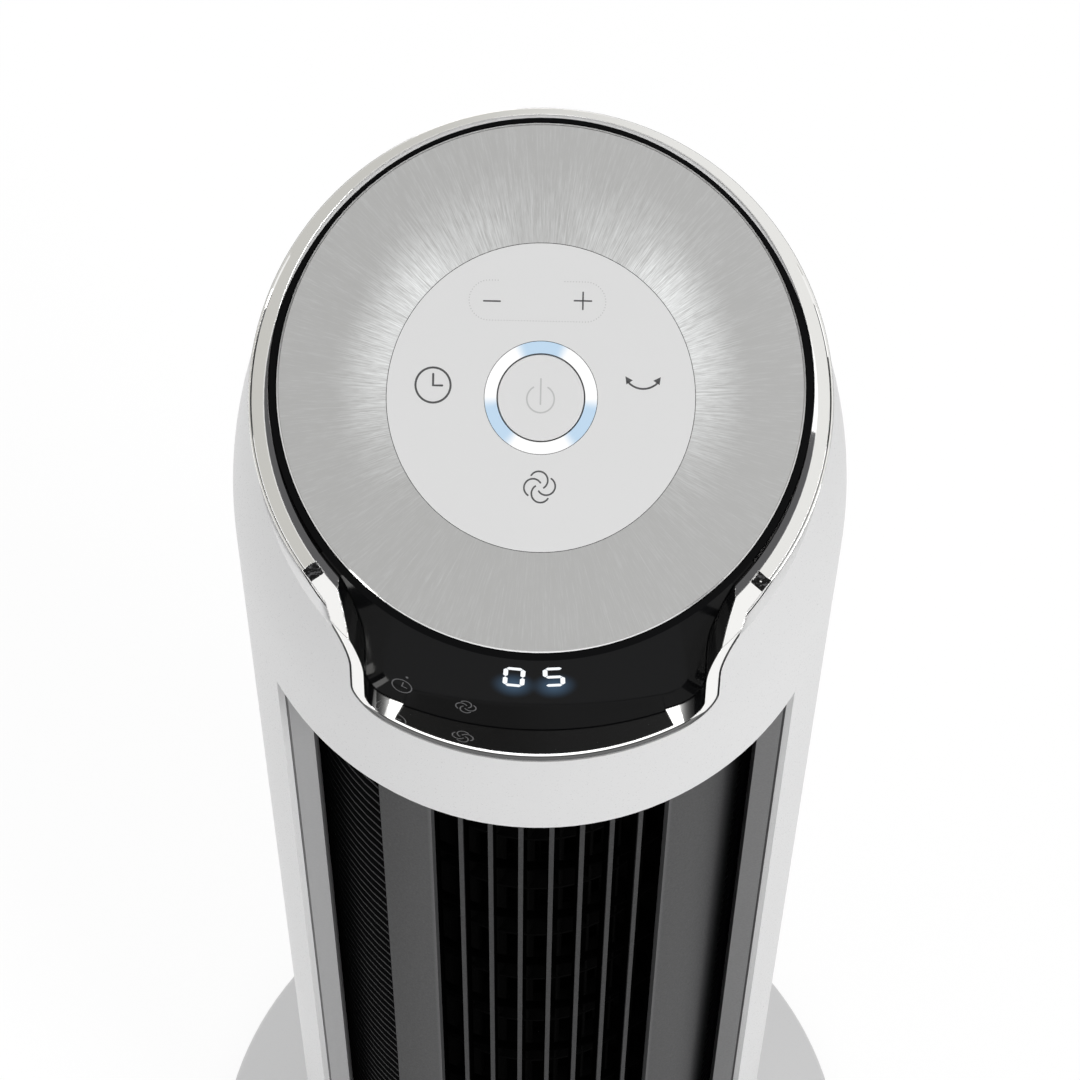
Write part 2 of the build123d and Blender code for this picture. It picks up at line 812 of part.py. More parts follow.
scroll_mouth_angle = outlet_half_angle + 2 * frame_angle
scroll_turn_angle = scroll_mouth_angle + scroll_throat_angle
scroll_middle_angle = scroll_turn_angle + scroll_wrap_angle / 2
scroll_end_angle = scroll_turn_angle + scroll_wrap_angle
with BuildPart() as scroll_wall:
    with BuildSketch(level(drum_bottom)):
        with BuildLine() as scroll_line:
            Line(
                drum_point(scroll_outer_radius - scroll_thickness, -scroll_mouth_angle),
                drum_point(scroll_inner_radius + scroll_thickness, -scroll_turn_angle),
            )
            ThreePointArc(
                drum_point(scroll_inner_radius + scroll_thickness, -scroll_turn_angle),
                drum_point(scroll_inner_radius, -scroll_middle_angle),
                drum_point(scroll_inner_radius - scroll_thickness, -scroll_end_angle),
            )
        trace(scroll_line.line, line_width=scroll_thickness)
    extrude(amount=drum_height)
save(scroll_wall, "scroll_wall")

with BuildPart() as stabilizer:
    with BuildSketch(level(drum_bottom)):
        with BuildLine() as stabilizer_line:
            Polyline(
                drum_point(scroll_outer_radius - scroll_thickness, scroll_mouth_angle),
                drum_point(scroll_inner_radius, scroll_turn_angle),
                drum_point(scroll_inner_radius + scroll_gap, scroll_turn_angle + stabilizer_tail_angle),
            )
        trace(stabilizer_line.line, line_width=scroll_thickness)
    extrude(amount=drum_height)
save(stabilizer, "stabilizer")

with BuildPart() as pivot_bush:
    with BuildSketch(level(pivot_bush_bottom)):
        Circle(pivot_bush_radius)
        Circle(pivot_radius + shaft_gap, mode=Mode.SUBTRACT)
    extrude(amount=hub_top - pivot_bush_bottom)
save(pivot_bush, "pivot_bush")

# Fan motor, impeller and its bearing
motor_bottom = drum_bottom
motor_body_bottom = motor_bottom + motor_flange_thickness
motor_top = motor_body_bottom + motor_height
motor_boss_top = motor_top + motor_flange_thickness
fan_shaft_bottom = motor_body_bottom + motor_flange_thickness

with BuildPart() as fan_motor:
    with BuildSketch(level(motor_bottom)):
        Circle(motor_flange_radius)
    extrude(amount=motor_flange_thickness)
    with BuildSketch(level(motor_body_bottom)):
        Circle(motor_radius)
    extrude(amount=motor_height)
    fillet(fan_motor.edges().group_by(Axis.Z)[-1], motor_flange_thickness)
    with BuildSketch(level(motor_top)):
        Circle(impeller_hub_radius)
    extrude(amount=motor_flange_thickness)
    cut_holes([level(motor_boss_top)], fan_shaft_radius + shaft_gap, motor_boss_top - fan_shaft_bottom)
    cut_holes(planes_up(motor_screw_points, motor_body_bottom), drum_hole_radius, motor_flange_thickness)
save(fan_motor, "fan_motor")

with BuildPart() as fan_motor_screws:
    add_screws(
        planes_up(motor_screw_points, motor_body_bottom),
        screw_head_radius,
        screw_head_height,
        screw_radius,
        motor_flange_thickness + drum_cap_thickness,
    )
save(fan_motor_screws, "fan_motor_screws")

with BuildPart() as motor_shaft:
    with BuildSketch(level(fan_shaft_bottom + seat_gap)):
        Circle(fan_shaft_radius)
    extrude(amount=impeller_bottom + impeller_hub_height - fan_shaft_bottom - seat_gap)
save(motor_shaft, "motor_shaft")

blade_middle_radius = impeller_radius - blade_reach / 2 - blade_inset
ring_heights = [impeller_bottom + impeller_segment * step for step in range(impeller_segment_count + 1)]
with BuildPart() as impeller:
    with BuildSketch(level(impeller_bottom)):
        with PolarLocations(blade_middle_radius, blade_count):
            with Locations((0, -blade_curve_radius)):
                blade_arc = CenterArc((0, 0), blade_curve_radius, 90 - blade_arc_angle / 2, blade_arc_angle)
                SlotArc(blade_arc, blade_thickness)
    extrude(amount=impeller_top - impeller_bottom)
    with BuildSketch(*[level(height) for height in ring_heights]):
        Circle(impeller_radius)
        Circle(impeller_radius - blade_reach, mode=Mode.SUBTRACT)
    extrude(amount=impeller_ring_thickness)
    with BuildSketch(level(impeller_bottom), level(impeller_top - impeller_ring_thickness)):
        Circle(impeller_radius - blade_reach + join_overlap)
    extrude(amount=impeller_ring_thickness)
    with BuildSketch(level(impeller_bottom), level(impeller_top - impeller_hub_height)):
        Circle(impeller_hub_radius)
    extrude(amount=impeller_hub_height)
    cut_holes([level(impeller_top)], fan_shaft_radius, impeller_top - impeller_bottom)
save(impeller, "impeller")

with BuildPart() as stub_shaft:
    stub_bottom = impeller_top - impeller_hub_height
    with BuildSketch(level(stub_bottom)):
        Circle(fan_shaft_radius)
    extrude(amount=bearing_top - seat_gap - stub_bottom)
save(stub_shaft, "stub_shaft")

with BuildPart() as impeller_bearing:
    with BuildSketch(level(bearing_bottom)):
        Circle(bearing_radius)
        Circle(fan_shaft_radius + shaft_gap, mode=Mode.SUBTRACT)
    extrude(amount=bearing_length)
save(impeller_bearing, "impeller_bearing")

# Column shells: side panels, grey strips and rear grille
panel_start_angle = front_angle + opening_half_angle
panel_end_angle = front_angle + panel_seam_angle
panel_arc = panel_end_angle - panel_start_angle
tongue_outer_radius = inner_radius - fit_gap
tongue_inner_radius = tongue_outer_radius - tongue_thickness
tongue_start_angle = panel_start_angle + strip_hook_angle + hook_gap_angle
lap_start_angle = panel_end_angle - lap_angle
tongue_arc = lap_start_angle - tongue_start_angle
rear_screw_angle = panel_end_angle + lap_angle / 2
rear_screw_step = (opening_height - 2 * louvre_band) / (rear_screw_count - 1)
rear_screw_bottom = housing_top + louvre_band
rear_screw_heights = [rear_screw_bottom + rear_screw_step * step for step in range(rear_screw_count)]
rear_screw_seat = body_radius - body_wall / 2
right_screw_planes = [outward_plane(rear_screw_angle, rear_screw_seat, z) for z in rear_screw_heights]
left_screw_planes = [outward_plane(180 - rear_screw_angle, rear_screw_seat, z) for z in rear_screw_heights]
strip_front_y = -body_radius * cos(radians(opening_half_angle)) + strip_thickness / 4
strip_outer_x = sqrt(tongue_outer_radius**2 - strip_front_y**2) - fit_gap

with BuildPart() as right_side_panel:
    with BuildSketch(level(housing_top)):
        ring_sector(inner_radius, body_radius, panel_start_angle, panel_arc)
        ring_sector(tongue_inner_radius, inner_radius + body_wall / 2, lap_start_angle, lap_angle)
        ring_sector(tongue_inner_radius, tongue_outer_radius, lap_start_angle, 2 * lap_angle)
    extrude(amount=opening_height)
    with BuildSketch(level(housing_top - tongue_height)):
        ring_sector(tongue_inner_radius, tongue_outer_radius, tongue_start_angle, tongue_arc)
    extrude(amount=opening_height + 2 * tongue_height)
    with BuildSketch(level(housing_top), level(band_height - 2 * tongue_height)):
        ring_sector(tongue_inner_radius, inner_radius + body_wall / 2, tongue_start_angle, tongue_arc)
    extrude(amount=2 * tongue_height)
    cut_holes(right_screw_planes, screw_radius + shaft_gap, 4 * body_wall)
save(right_side_panel, "right_side_panel")

with BuildPart() as left_side_panel:
    add(right_side_panel.part.mirror(Plane.YZ))
save(left_side_panel, "left_side_panel")

with BuildPart() as right_strip:
    with BuildSketch(level(housing_top)):
        ring_sector(tongue_inner_radius, tongue_outer_radius, panel_start_angle, strip_hook_angle)
        with Locations((strip_inner_x, strip_front_y)):
            Rectangle(strip_outer_x - strip_inner_x, strip_thickness, align=(Align.MIN, Align.MIN))
            Rectangle(strip_thickness, strip_return, align=(Align.MIN, Align.MIN))
    extrude(amount=opening_height)
save(right_strip, "right_strip")

with BuildPart() as left_strip:
    add(right_strip.part.mirror(Plane.YZ))
save(left_strip, "left_strip")

grille_arc = 360 - 2 * panel_seam_angle
grille_far_angle = panel_end_angle + grille_arc - grille_edge_angle
louvre_edge_angle = grille_edge_angle - louvre_lap_angle
louvre_start_angle = panel_end_angle + louvre_edge_angle
louvre_arc = grille_arc - 2 * louvre_edge_angle
louvre_inner_radius = body_radius - louvre_depth
louvre_count = int((opening_height - 2 * louvre_band) / louvre_pitch)
louvre_bottom = housing_top + (opening_height - (louvre_count - 1) * louvre_pitch - louvre_height) / 2
louvre_rib_angle = degrees(louvre_height / body_radius)
louvre_rib_step = (louvre_arc - louvre_rib_angle) / (louvre_rib_count - 1)
with BuildPart() as rear_grille:
    with BuildSketch(level(housing_top)):
        for edge_angle in (panel_end_angle, grille_far_angle):
            ring_sector(inner_radius, body_radius, edge_angle, grille_edge_angle)
        for step in range(louvre_rib_count):
            ring_sector(
                louvre_inner_radius + louvre_inset,
                inner_radius + body_wall / 2,
                louvre_start_angle + step * louvre_rib_step,
                louvre_rib_angle,
            )
    extrude(amount=opening_height)
    with BuildSketch(*[level(louvre_bottom + louvre_pitch * step) for step in range(louvre_count)]):
        ring_sector(louvre_inner_radius, body_radius - louvre_inset, louvre_start_angle, louvre_arc)
    extrude(amount=louvre_height)
    with BuildSketch(level(housing_top), level(band_height - louvre_band)):
        ring_sector(inner_radius, body_radius, louvre_start_angle, louvre_arc)
    extrude(amount=louvre_band)
    screw_planes = right_screw_planes + left_screw_planes
    cut_holes(screw_planes, screw_radius + fit_gap, 2 * body_wall)
    cut_holes([plane.offset(body_wall) for plane in screw_planes], screw_recess_radius, body_wall)
save(rear_grille, "rear_grille")

with BuildPart() as rear_screws:
    add_screws(
        right_screw_planes + left_screw_planes,
        screw_head_radius,
        body_wall / 2,
        screw_radius,
        body_wall / 2 + fit_gap + tongue_thickness,
    )
save(rear_screws, "rear_screws")

# Head: shell, chrome bezel, black display cowl
crown_start = band_height + crown_straight_height
crown_top = band_height + 2 * body_radius
crown_arc_angle = degrees(asin((crown_top - crown_start) / crown_arc_radius))
disc_centre = Vector(0, 0, band_height + disc_centre_height)
disc_normal = Vector(0, -sin(radians(disc_tilt)), cos(radians(disc_tilt)))
disc_plane = Plane(origin=disc_centre, x_dir=(1, 0, 0), z_dir=disc_normal)
disc_axis = Axis(disc_centre, disc_normal)
scoop_bottom = band_height + scoop_bottom_height
flare_height = band_height + scoop_flare_height
leg_angles = (leg_rear_angle, 180 - leg_rear_angle, 180 + leg_front_angle, -leg_front_angle)
leg_points = [polar_point(leg_circle_radius, angle) for angle in leg_angles]


def crown(inset):
    """Solid of the column's top above the opening, its side drawn in by the inset."""
    with BuildPart() as solid:
        with BuildSketch(Plane.XZ):
            with BuildLine():
                side = Line((body_radius - inset, band_height), (body_radius - inset, crown_start))
                arc_centre = (body_radius - crown_arc_radius, crown_start)
                arc = CenterArc(arc_centre, crown_arc_radius - inset, 0, crown_arc_angle)
                Polyline(arc @ 1, (0, (arc @ 1).Y), (0, band_height), side @ 0)
            make_face()
        revolve(axis=Axis.Z)
    return solid.part


def scoop_face(side_inset, bottom_inset, turn):
    """Adds the scoop's front outline, drawn in at its sides and bottom, to the open sketch."""
    half_width = scoop_half_width - side_inset
    bottom = scoop_bottom + bottom_inset
    corner = scoop_corner - side_inset
    flare = scoop_flare + side_inset
    with BuildLine() as outline:
        Line((0, bottom), (half_width - corner, bottom))
        corner_arc = CenterArc((half_width - corner, bottom + corner), corner, -90, 90)
        Line(corner_arc @ 1, (half_width, flare_height))
        flare_arc = CenterArc((half_width + flare, flare_height), flare, 180, -turn)
        Polyline(flare_arc @ 1, ((flare_arc @ 1).X, crown_top), (0, crown_top))
        mirror(about=Plane.YZ)
    make_face(outline.edges())


def disc_section_plane(angle):
    """Plane through the disc's axis, its X pointing outward at an angle and its Y along the axis."""
    outward = disc_plane.x_dir * cos(radians(angle)) + disc_plane.y_dir * sin(radians(angle))
    return Plane(origin=disc_centre, x_dir=outward, z_dir=outward.cross(disc_normal))


def window_radius(depth):
    """Radius of the window's cone at a depth below the disc's plane."""
    return rim_radius + (depth - rim_drop) * tan(radians(window_angle))


def cone_core(gap):
    """Solid inside the cowl's rim and the window's cone, let out by a gap."""
    with BuildPart() as core:
        with BuildSketch(disc_plane.offset(-body_radius)):
            Circle(rim_radius + gap)
        extrude(amount=2 * body_radius)
        with BuildSketch(disc_section_plane(front_angle - window_half_angle)):
            with BuildLine():
                Polyline(
                    (0, -rim_drop),
                    (rim_radius + gap, -rim_drop),
                    (window_radius(body_radius) + gap, -body_radius),
                    (0, -body_radius),
                    (0, -rim_drop),
                )
            make_face()
        revolve(axis=disc_axis, revolution_arc=2 * window_half_angle)
    return core.part


liner_crown = crown(body_wall + fit_gap)
bezel_core = cone_core(fit_gap)

with BuildPart() as head_shell:
    add(crown(0))
    add(crown(body_wall), mode=Mode.SUBTRACT)
    with BuildSketch(*planes_up(post_points, upper_deck_top)):
        Circle(post_radius)
    extrude(amount=2 * screw_grip)
    cut_holes(planes_down(post_points, upper_deck_top), screw_radius + shaft_gap, screw_grip)
    with BuildSketch(disc_plane.offset(-bezel_height)):
        Circle(big)
    extrude(amount=big, mode=Mode.SUBTRACT)
    with BuildSketch(Plane.XZ):
        scoop_face(0, 0, scoop_outer_turn)
    extrude(amount=big, mode=Mode.SUBTRACT)
save(head_shell, "head_shell")

bezel_centre = disc_centre - disc_plane.y_dir * bezel_offset
bezel_plane = Plane(origin=bezel_centre, x_dir=(1, 0, 0), z_dir=disc_normal)

with BuildPart() as bezel_ring:
    with BuildSketch(disc_plane.offset(-bezel_depth)):
        Circle(big)
    extrude(amount=bezel_depth)
    add(liner_crown, mode=Mode.INTERSECT)
    with BuildSketch(bezel_plane.offset(-bezel_height)):
        Circle(bezel_radius)
    extrude(amount=bezel_height)

with BuildPart() as bezel_strip:
    with BuildSketch(Plane.XZ):
        scoop_face(bezel_groove, bezel_groove, scoop_outer_turn)
    extrude(amount=big)
    add(crown(bezel_inset), mode=Mode.INTERSECT)

with BuildPart() as bezel_back:
    with BuildSketch(Plane.XZ.offset(scoop_half_width)):
        scoop_face(-bezel_flange, -bezel_flange, scoop_outer_turn)
    extrude(amount=big)
    add(liner_crown, mode=Mode.INTERSECT)

with BuildPart() as chrome_bezel:
    add(bezel_ring.part)
    add(bezel_strip.part)
    add(bezel_back.part)
    with BuildSketch(disc_plane):
        Circle(big)
    extrude(amount=big, mode=Mode.SUBTRACT)
    add(bezel_core, mode=Mode.SUBTRACT)
    with BuildSketch(Plane.XZ):
        scoop_face(bezel_side, bezel_lip, scoop_inner_turn)
    extrude(amount=big, mode=Mode.SUBTRACT)
    gutter_outer_radius = body_radius - bezel_inset - lip_width
    gutter_inner_radius = gutter_outer_radius - gutter_depth
    gutter_fall = gutter_depth * tan(radians(gutter_slope))
    with BuildSketch(radial_plane(front_angle - gutter_half_angle)):
        with BuildLine():
            Polyline(
                (gutter_outer_radius, scoop_bottom + bezel_lip),
                (gutter_inner_radius, scoop_bottom + bezel_lip),
                (gutter_inner_radius, scoop_bottom + bezel_lip - gutter_fall),
                (gutter_outer_radius, scoop_bottom + bezel_lip),
            )
        make_face()
    revolve(axis=Axis.Z, revolution_arc=2 * gutter_half_angle, mode=Mode.SUBTRACT)
    band_inner_radius = bezel_radius - bezel_band
    dish_radius = band_inner_radius - bezel_depth / tan(radians(bezel_slope))
    with BuildSketch(Plane(origin=bezel_centre, x_dir=(1, 0, 0), z_dir=-disc_plane.y_dir)):
        with BuildLine():
            Polyline(
                (0, 0),
                (band_inner_radius, 0),
                (dish_radius, -bezel_depth),
                (0, -bezel_depth),
                (0, 0),
            )
        make_face()
    revolve(axis=Axis(bezel_centre, disc_normal), mode=Mode.SUBTRACT)
save(chrome_bezel, "chrome_bezel")

deck_top_offset = -disc_thickness
deck_bottom_offset = deck_top_offset - cowl_wall
board_top_offset = deck_bottom_offset - board_standoff
board_bottom_offset = board_top_offset - board_thickness
standoff_points = ring_points(board_radius - 2 * standoff_radius, standoff_count, corner_angle)
panel_centre = disc_centre - disc_plane.y_dir * panel_offset
panel_plane = Plane(origin=panel_centre, x_dir=(1, 0, 0), z_dir=disc_normal)
window_slope = radians(window_angle - disc_tilt)
window_centre = disc_plane.from_local_coords((0, -window_radius(display_drop), -display_drop))
window_normal = (0, -cos(window_slope), sin(window_slope))
window_plane = Plane(origin=window_centre, x_dir=(1, 0, 0), z_dir=window_normal)
skirt_half_gap = window_half_angle - lap_angle
skirt_arc = 360 - 2 * skirt_half_gap
slant_wall = cowl_wall / cos(radians(window_angle))
display_post_x = display_width / 2 + standoff_radius + fit_gap
display_board_offset = -display_recess - display_depth
display_board_width = 2 * (display_post_x + standoff_radius)

with BuildPart() as display_cowl:
    with BuildSketch(*planes_up(leg_points, upper_deck_top)):
        Circle(leg_radius)
    extrude(amount=big)
    with BuildSketch(disc_plane.offset(deck_bottom_offset)):
        Circle(big)
    extrude(amount=2 * big, mode=Mode.SUBTRACT)
    with BuildSketch(disc_plane.offset(deck_bottom_offset)):
        Circle(rim_radius)
    extrude(amount=cowl_wall)
    with BuildSketch(disc_plane.offset(deck_top_offset)):
        Circle(rim_radius)
        Circle(disc_radius + running_gap, mode=Mode.SUBTRACT)
    extrude(amount=disc_thickness - rim_drop)
    with BuildSketch(disc_plane.offset(deck_bottom_offset)):
        ring_sector(rim_radius - cowl_wall, rim_radius, front_angle + skirt_half_gap, skirt_arc)
    extrude(amount=-board_standoff)
    with BuildSketch(disc_section_plane(front_angle - window_half_angle)):
        with BuildLine():
            Polyline(
                (rim_radius - slant_wall, -rim_drop),
                (rim_radius, -rim_drop),
                (window_radius(window_depth), -window_depth),
                (window_radius(window_depth) - slant_wall, -window_depth),
                (rim_radius - slant_wall, -rim_drop),
            )
        make_face()
    revolve(axis=disc_axis, revolution_arc=2 * window_half_angle)
    with BuildSketch(disc_plane):
        Circle(disc_radius + running_gap)
    extrude(amount=-disc_thickness, mode=Mode.SUBTRACT)
    with BuildSketch(panel_plane.offset(deck_bottom_offset)):
        with Locations(*standoff_points):
            Circle(standoff_radius)
    extrude(amount=-board_standoff)
    with BuildSketch(window_plane.offset(-display_recess)):
        with Locations((display_post_x, 0), (-display_post_x, 0)):
            Circle(standoff_radius)
    extrude(amount=-display_depth)
    with BuildSketch(panel_plane.offset(deck_top_offset)):
        Circle(ring_inner_radius)
    extrude(amount=-cowl_wall, mode=Mode.SUBTRACT)
    add(liner_crown, mode=Mode.INTERSECT)
    cut_holes(planes_down(leg_points, upper_deck_top), screw_radius + shaft_gap, screw_grip)
    with BuildSketch(panel_plane.offset(board_top_offset)):
        with Locations(*standoff_points):
            Circle(screw_radius + shaft_gap)
    extrude(amount=board_standoff / 2, mode=Mode.SUBTRACT)
save(display_cowl, "display_cowl")

# Head: metal disc, touch panel, light ring, power button and boards
with BuildPart() as metal_disc:
    with BuildSketch(disc_plane):
        Circle(disc_radius)
        with Locations((0, -panel_offset)):
            Circle(panel_radius + fit_gap, mode=Mode.SUBTRACT)
    extrude(amount=-disc_thickness)
    rim_edges = metal_disc.faces().sort_by(disc_axis)[-1].outer_wire().edges()
    chamfer(rim_edges, disc_edge)
save(metal_disc, "metal_disc")

with BuildPart() as touch_panel:
    with BuildSketch(panel_plane):
        Circle(panel_radius)
        Circle(ring_outer_radius + fit_gap, mode=Mode.SUBTRACT)
    extrude(amount=-disc_thickness)
save(touch_panel, "touch_panel")

with BuildPart() as light_ring:
    with BuildSketch(panel_plane):
        Circle(ring_outer_radius)
        Circle(ring_inner_radius, mode=Mode.SUBTRACT)
    extrude(amount=-disc_thickness)
save(light_ring, "light_ring")

button_flange_top = deck_bottom_offset - running_gap
button_flange_bottom = button_flange_top - button_flange_thickness
with BuildPart() as power_button:
    with BuildSketch(panel_plane.offset(button_proud)):
        Circle(button_radius)
    extrude(amount=button_flange_bottom - button_proud)
    top_edges = power_button.faces().sort_by(disc_axis)[-1].edges()
    fillet(top_edges, button_proud)
    with BuildSketch(panel_plane.offset(button_flange_bottom)):
        Circle(button_radius + button_flange)
    extrude(amount=button_flange_thickness)
    with BuildSketch(panel_plane.offset(button_flange_bottom)):
        Circle(button_stem_radius)
    extrude(amount=-button_travel)
save(power_button, "power_button")

with BuildPart() as control_board:
    with BuildSketch(panel_plane.offset(board_top_offset)):
        Circle(board_radius)
        with Locations(*standoff_points):
            Circle(screw_radius + fit_gap, mode=Mode.SUBTRACT)
    extrude(amount=-board_thickness)
save(control_board, "control_board")

with BuildPart() as board_screws:
    with BuildSketch(panel_plane.offset(board_bottom_offset)):
        with Locations(*standoff_points):
            Circle(screw_head_radius)
    extrude(amount=-screw_head_height)
    with BuildSketch(panel_plane.offset(board_bottom_offset)):
        with Locations(*standoff_points):
            Circle(screw_radius)
    extrude(amount=board_thickness + board_standoff / 2)
save(board_screws, "board_screws")

switch_top_offset = button_flange_bottom - 2 * button_travel - running_gap
with BuildPart() as power_switch:
    with BuildSketch(panel_plane.offset(board_top_offset)):
        Rectangle(switch_size, switch_size)
    extrude(amount=(switch_top_offset - board_top_offset) / 2)
    with BuildSketch(panel_plane.offset(board_top_offset)):
        Circle(button_stem_radius)
    extrude(amount=switch_top_offset - board_top_offset)
save(power_switch, "power_switch")

with BuildPart() as display_module:
    with BuildSketch(window_plane.offset(-display_recess)):
        Rectangle(display_width, display_height)
    extrude(amount=-display_depth)
save(display_module, "display_module")

with BuildPart() as display_board:
    with BuildSketch(window_plane.offset(display_board_offset)):
        Rectangle(display_board_width, display_height + display_board_margin)
    extrude(amount=-board_thickness)
save(display_board, "display_board")

# Upper deck with the drum's pivot
with BuildPart() as upper_deck:
    with BuildSketch(level(upper_deck_bottom)):
        Circle(tongue_inner_radius - fit_gap)
    extrude(amount=deck_thickness)
    with BuildSketch(level(upper_deck_bottom)):
        Circle(pivot_radius)
    extrude(amount=pivot_bush_bottom + seat_gap - upper_deck_bottom)
    cut_holes(planes_up(post_points, upper_deck_top), screw_radius + fit_gap, deck_thickness)
    cut_holes(planes_up(leg_points, upper_deck_top), screw_radius + fit_gap, deck_thickness)
save(upper_deck, "upper_deck")

with BuildPart() as upper_deck_screws:
    add_screws(
        planes_down(post_points, upper_deck_bottom),
        screw_head_radius,
        screw_head_height,
        screw_radius,
        deck_thickness + screw_grip,
    )
save(upper_deck_screws, "upper_deck_screws")

with BuildPart() as cowl_screws:
    add_screws(
        planes_down(leg_points, upper_deck_bottom),
        screw_head_radius,
        screw_head_height,
        screw_radius,
        deck_thickness + screw_grip,
    )
save(cowl_screws, "cowl_screws")
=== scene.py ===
"""Studio scene of a tower fan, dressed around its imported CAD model.

Metres, +Z up, the CAD model's own frame. The front faces -Y.
"""

import json
import math

import bpy
from mathutils import Matrix, Vector


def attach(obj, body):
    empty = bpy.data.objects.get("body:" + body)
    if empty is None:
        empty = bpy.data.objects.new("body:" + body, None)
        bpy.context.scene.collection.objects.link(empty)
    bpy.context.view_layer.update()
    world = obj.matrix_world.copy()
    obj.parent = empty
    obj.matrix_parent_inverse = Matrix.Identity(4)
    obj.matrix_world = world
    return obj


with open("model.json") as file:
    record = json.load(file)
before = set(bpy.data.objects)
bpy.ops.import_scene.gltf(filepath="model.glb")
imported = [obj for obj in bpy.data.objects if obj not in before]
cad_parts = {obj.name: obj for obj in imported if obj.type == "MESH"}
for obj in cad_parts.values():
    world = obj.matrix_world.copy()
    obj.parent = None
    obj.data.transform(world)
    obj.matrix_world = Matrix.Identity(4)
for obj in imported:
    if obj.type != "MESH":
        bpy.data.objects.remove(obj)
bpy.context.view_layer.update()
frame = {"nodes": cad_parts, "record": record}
nodes = frame["nodes"]

MM = 0.001

# The column's and the head's main places, as in the CAD model
BAND_HEIGHT = 930 * MM
DISC_TILT = math.radians(21.5)
DISC_CENTRE = Vector((0, 0, BAND_HEIGHT + 147.5 * MM))
DISC_X = Vector((1, 0, 0))
DISC_Y = Vector((0, math.cos(DISC_TILT), math.sin(DISC_TILT)))
DISC_N = Vector((0, -math.sin(DISC_TILT), math.cos(DISC_TILT)))
DISC_RADIUS = 86.8 * MM
PANEL_RADIUS = 50.6 * MM
PANEL_CENTRE = DISC_CENTRE - DISC_Y * 3.1 * MM
BUTTON_PROUD = 0.3 * MM
DRUM_TURN = math.radians(4.5)

# The chrome's flat band and lip
BEZEL_CENTRE = DISC_CENTRE - DISC_Y * 4.2 * MM
BEZEL_RADIUS = 96 * MM
GROOVE_RADIUS = 95.0 * MM
GROOVE_HALF = 0.28 * MM
BEND_LOW = BEZEL_RADIUS * math.radians(50.5)
BEND_HIGH = BEZEL_RADIUS * math.radians(53.4)
BEND_DROP = 2.9 * MM
BEND_SLOPE = 0.2
LIP_RADIUS = 103.8 * MM
LIP_HEIGHT = BAND_HEIGHT + 76.5 * MM

# The display window, a cone round the disc. Angles from the front are in degrees, depths in millimetres
RIM_RADIUS = 89.4 * MM
RIM_DROP = 1.2 * MM
WINDOW_ANGLE = math.radians(36.3)
DIGIT_ZERO_ANGLE = -4.14
DIGIT_FIVE_ANGLE = 3.78
GLOW_DEPTH = 13.5
GLOW_REACH = 8.5 * MM

INK = 0.03 * MM
# Radius inside which the outlet is painted near black as shade
OUTLET_SHADE_RADIUS = 85.1 * MM

# The camera, fitted to the photograph's disc, panel and column
CAMERA_ELEVATION = math.radians(70.04)
CAMERA_AZIMUTH = math.radians(0.5)
CAMERA_ROLL = 0.01345
CAMERA_DISTANCE = 2.0269
SENSOR_WIDTH = 36
PICTURE_PIXELS = 1080
FOCAL_PIXELS = 5765


def window_radius(depth):
    """Radius of the window's cone at a depth below the disc's plane."""
    return RIM_RADIUS + (depth * MM - RIM_DROP) * math.tan(WINDOW_ANGLE)


def window_point(angle, depth, lift):
    """Point on the window, or lifted off it, by its angle from the front and its depth."""
    turn = math.radians(angle)
    outward = DISC_X * math.sin(turn) - DISC_Y * math.cos(turn)
    normal = outward * math.cos(WINDOW_ANGLE) + DISC_N * math.sin(WINDOW_ANGLE)
    return DISC_CENTRE + outward * window_radius(depth) - DISC_N * depth * MM + normal * lift


def make_camera():
    level = math.cos(CAMERA_ELEVATION)
    back = Vector(
        (math.sin(CAMERA_AZIMUTH) * level, -math.cos(CAMERA_AZIMUTH) * level, math.sin(CAMERA_ELEVATION))
    )
    level_right = (-back).cross(Vector((0, 0, 1))).normalized()
    level_up = level_right.cross(-back)
    right = level_right * math.cos(CAMERA_ROLL) + level_up * math.sin(CAMERA_ROLL)
    up = level_up * math.cos(CAMERA_ROLL) - level_right * math.sin(CAMERA_ROLL)
    data = bpy.data.cameras.new("camera")
    data.sensor_width = SENSOR_WIDTH
    data.lens = SENSOR_WIDTH * FOCAL_PIXELS / PICTURE_PIXELS
    data.shift_x = 1.0 / PICTURE_PIXELS
    data.shift_y = 2.05 / PICTURE_PIXELS
    data.clip_start = 0.01
    data.clip_end = 100
    camera = bpy.data.objects.new("camera", data)
    turn = Matrix((right, up, back)).transposed().to_4x4()
    aim = Vector((0, 0, BAND_HEIGHT))
    camera.matrix_world = Matrix.Translation(aim + back * CAMERA_DISTANCE) @ turn
    bpy.context.scene.collection.objects.link(camera)
    bpy.context.scene.camera = camera


make_camera()


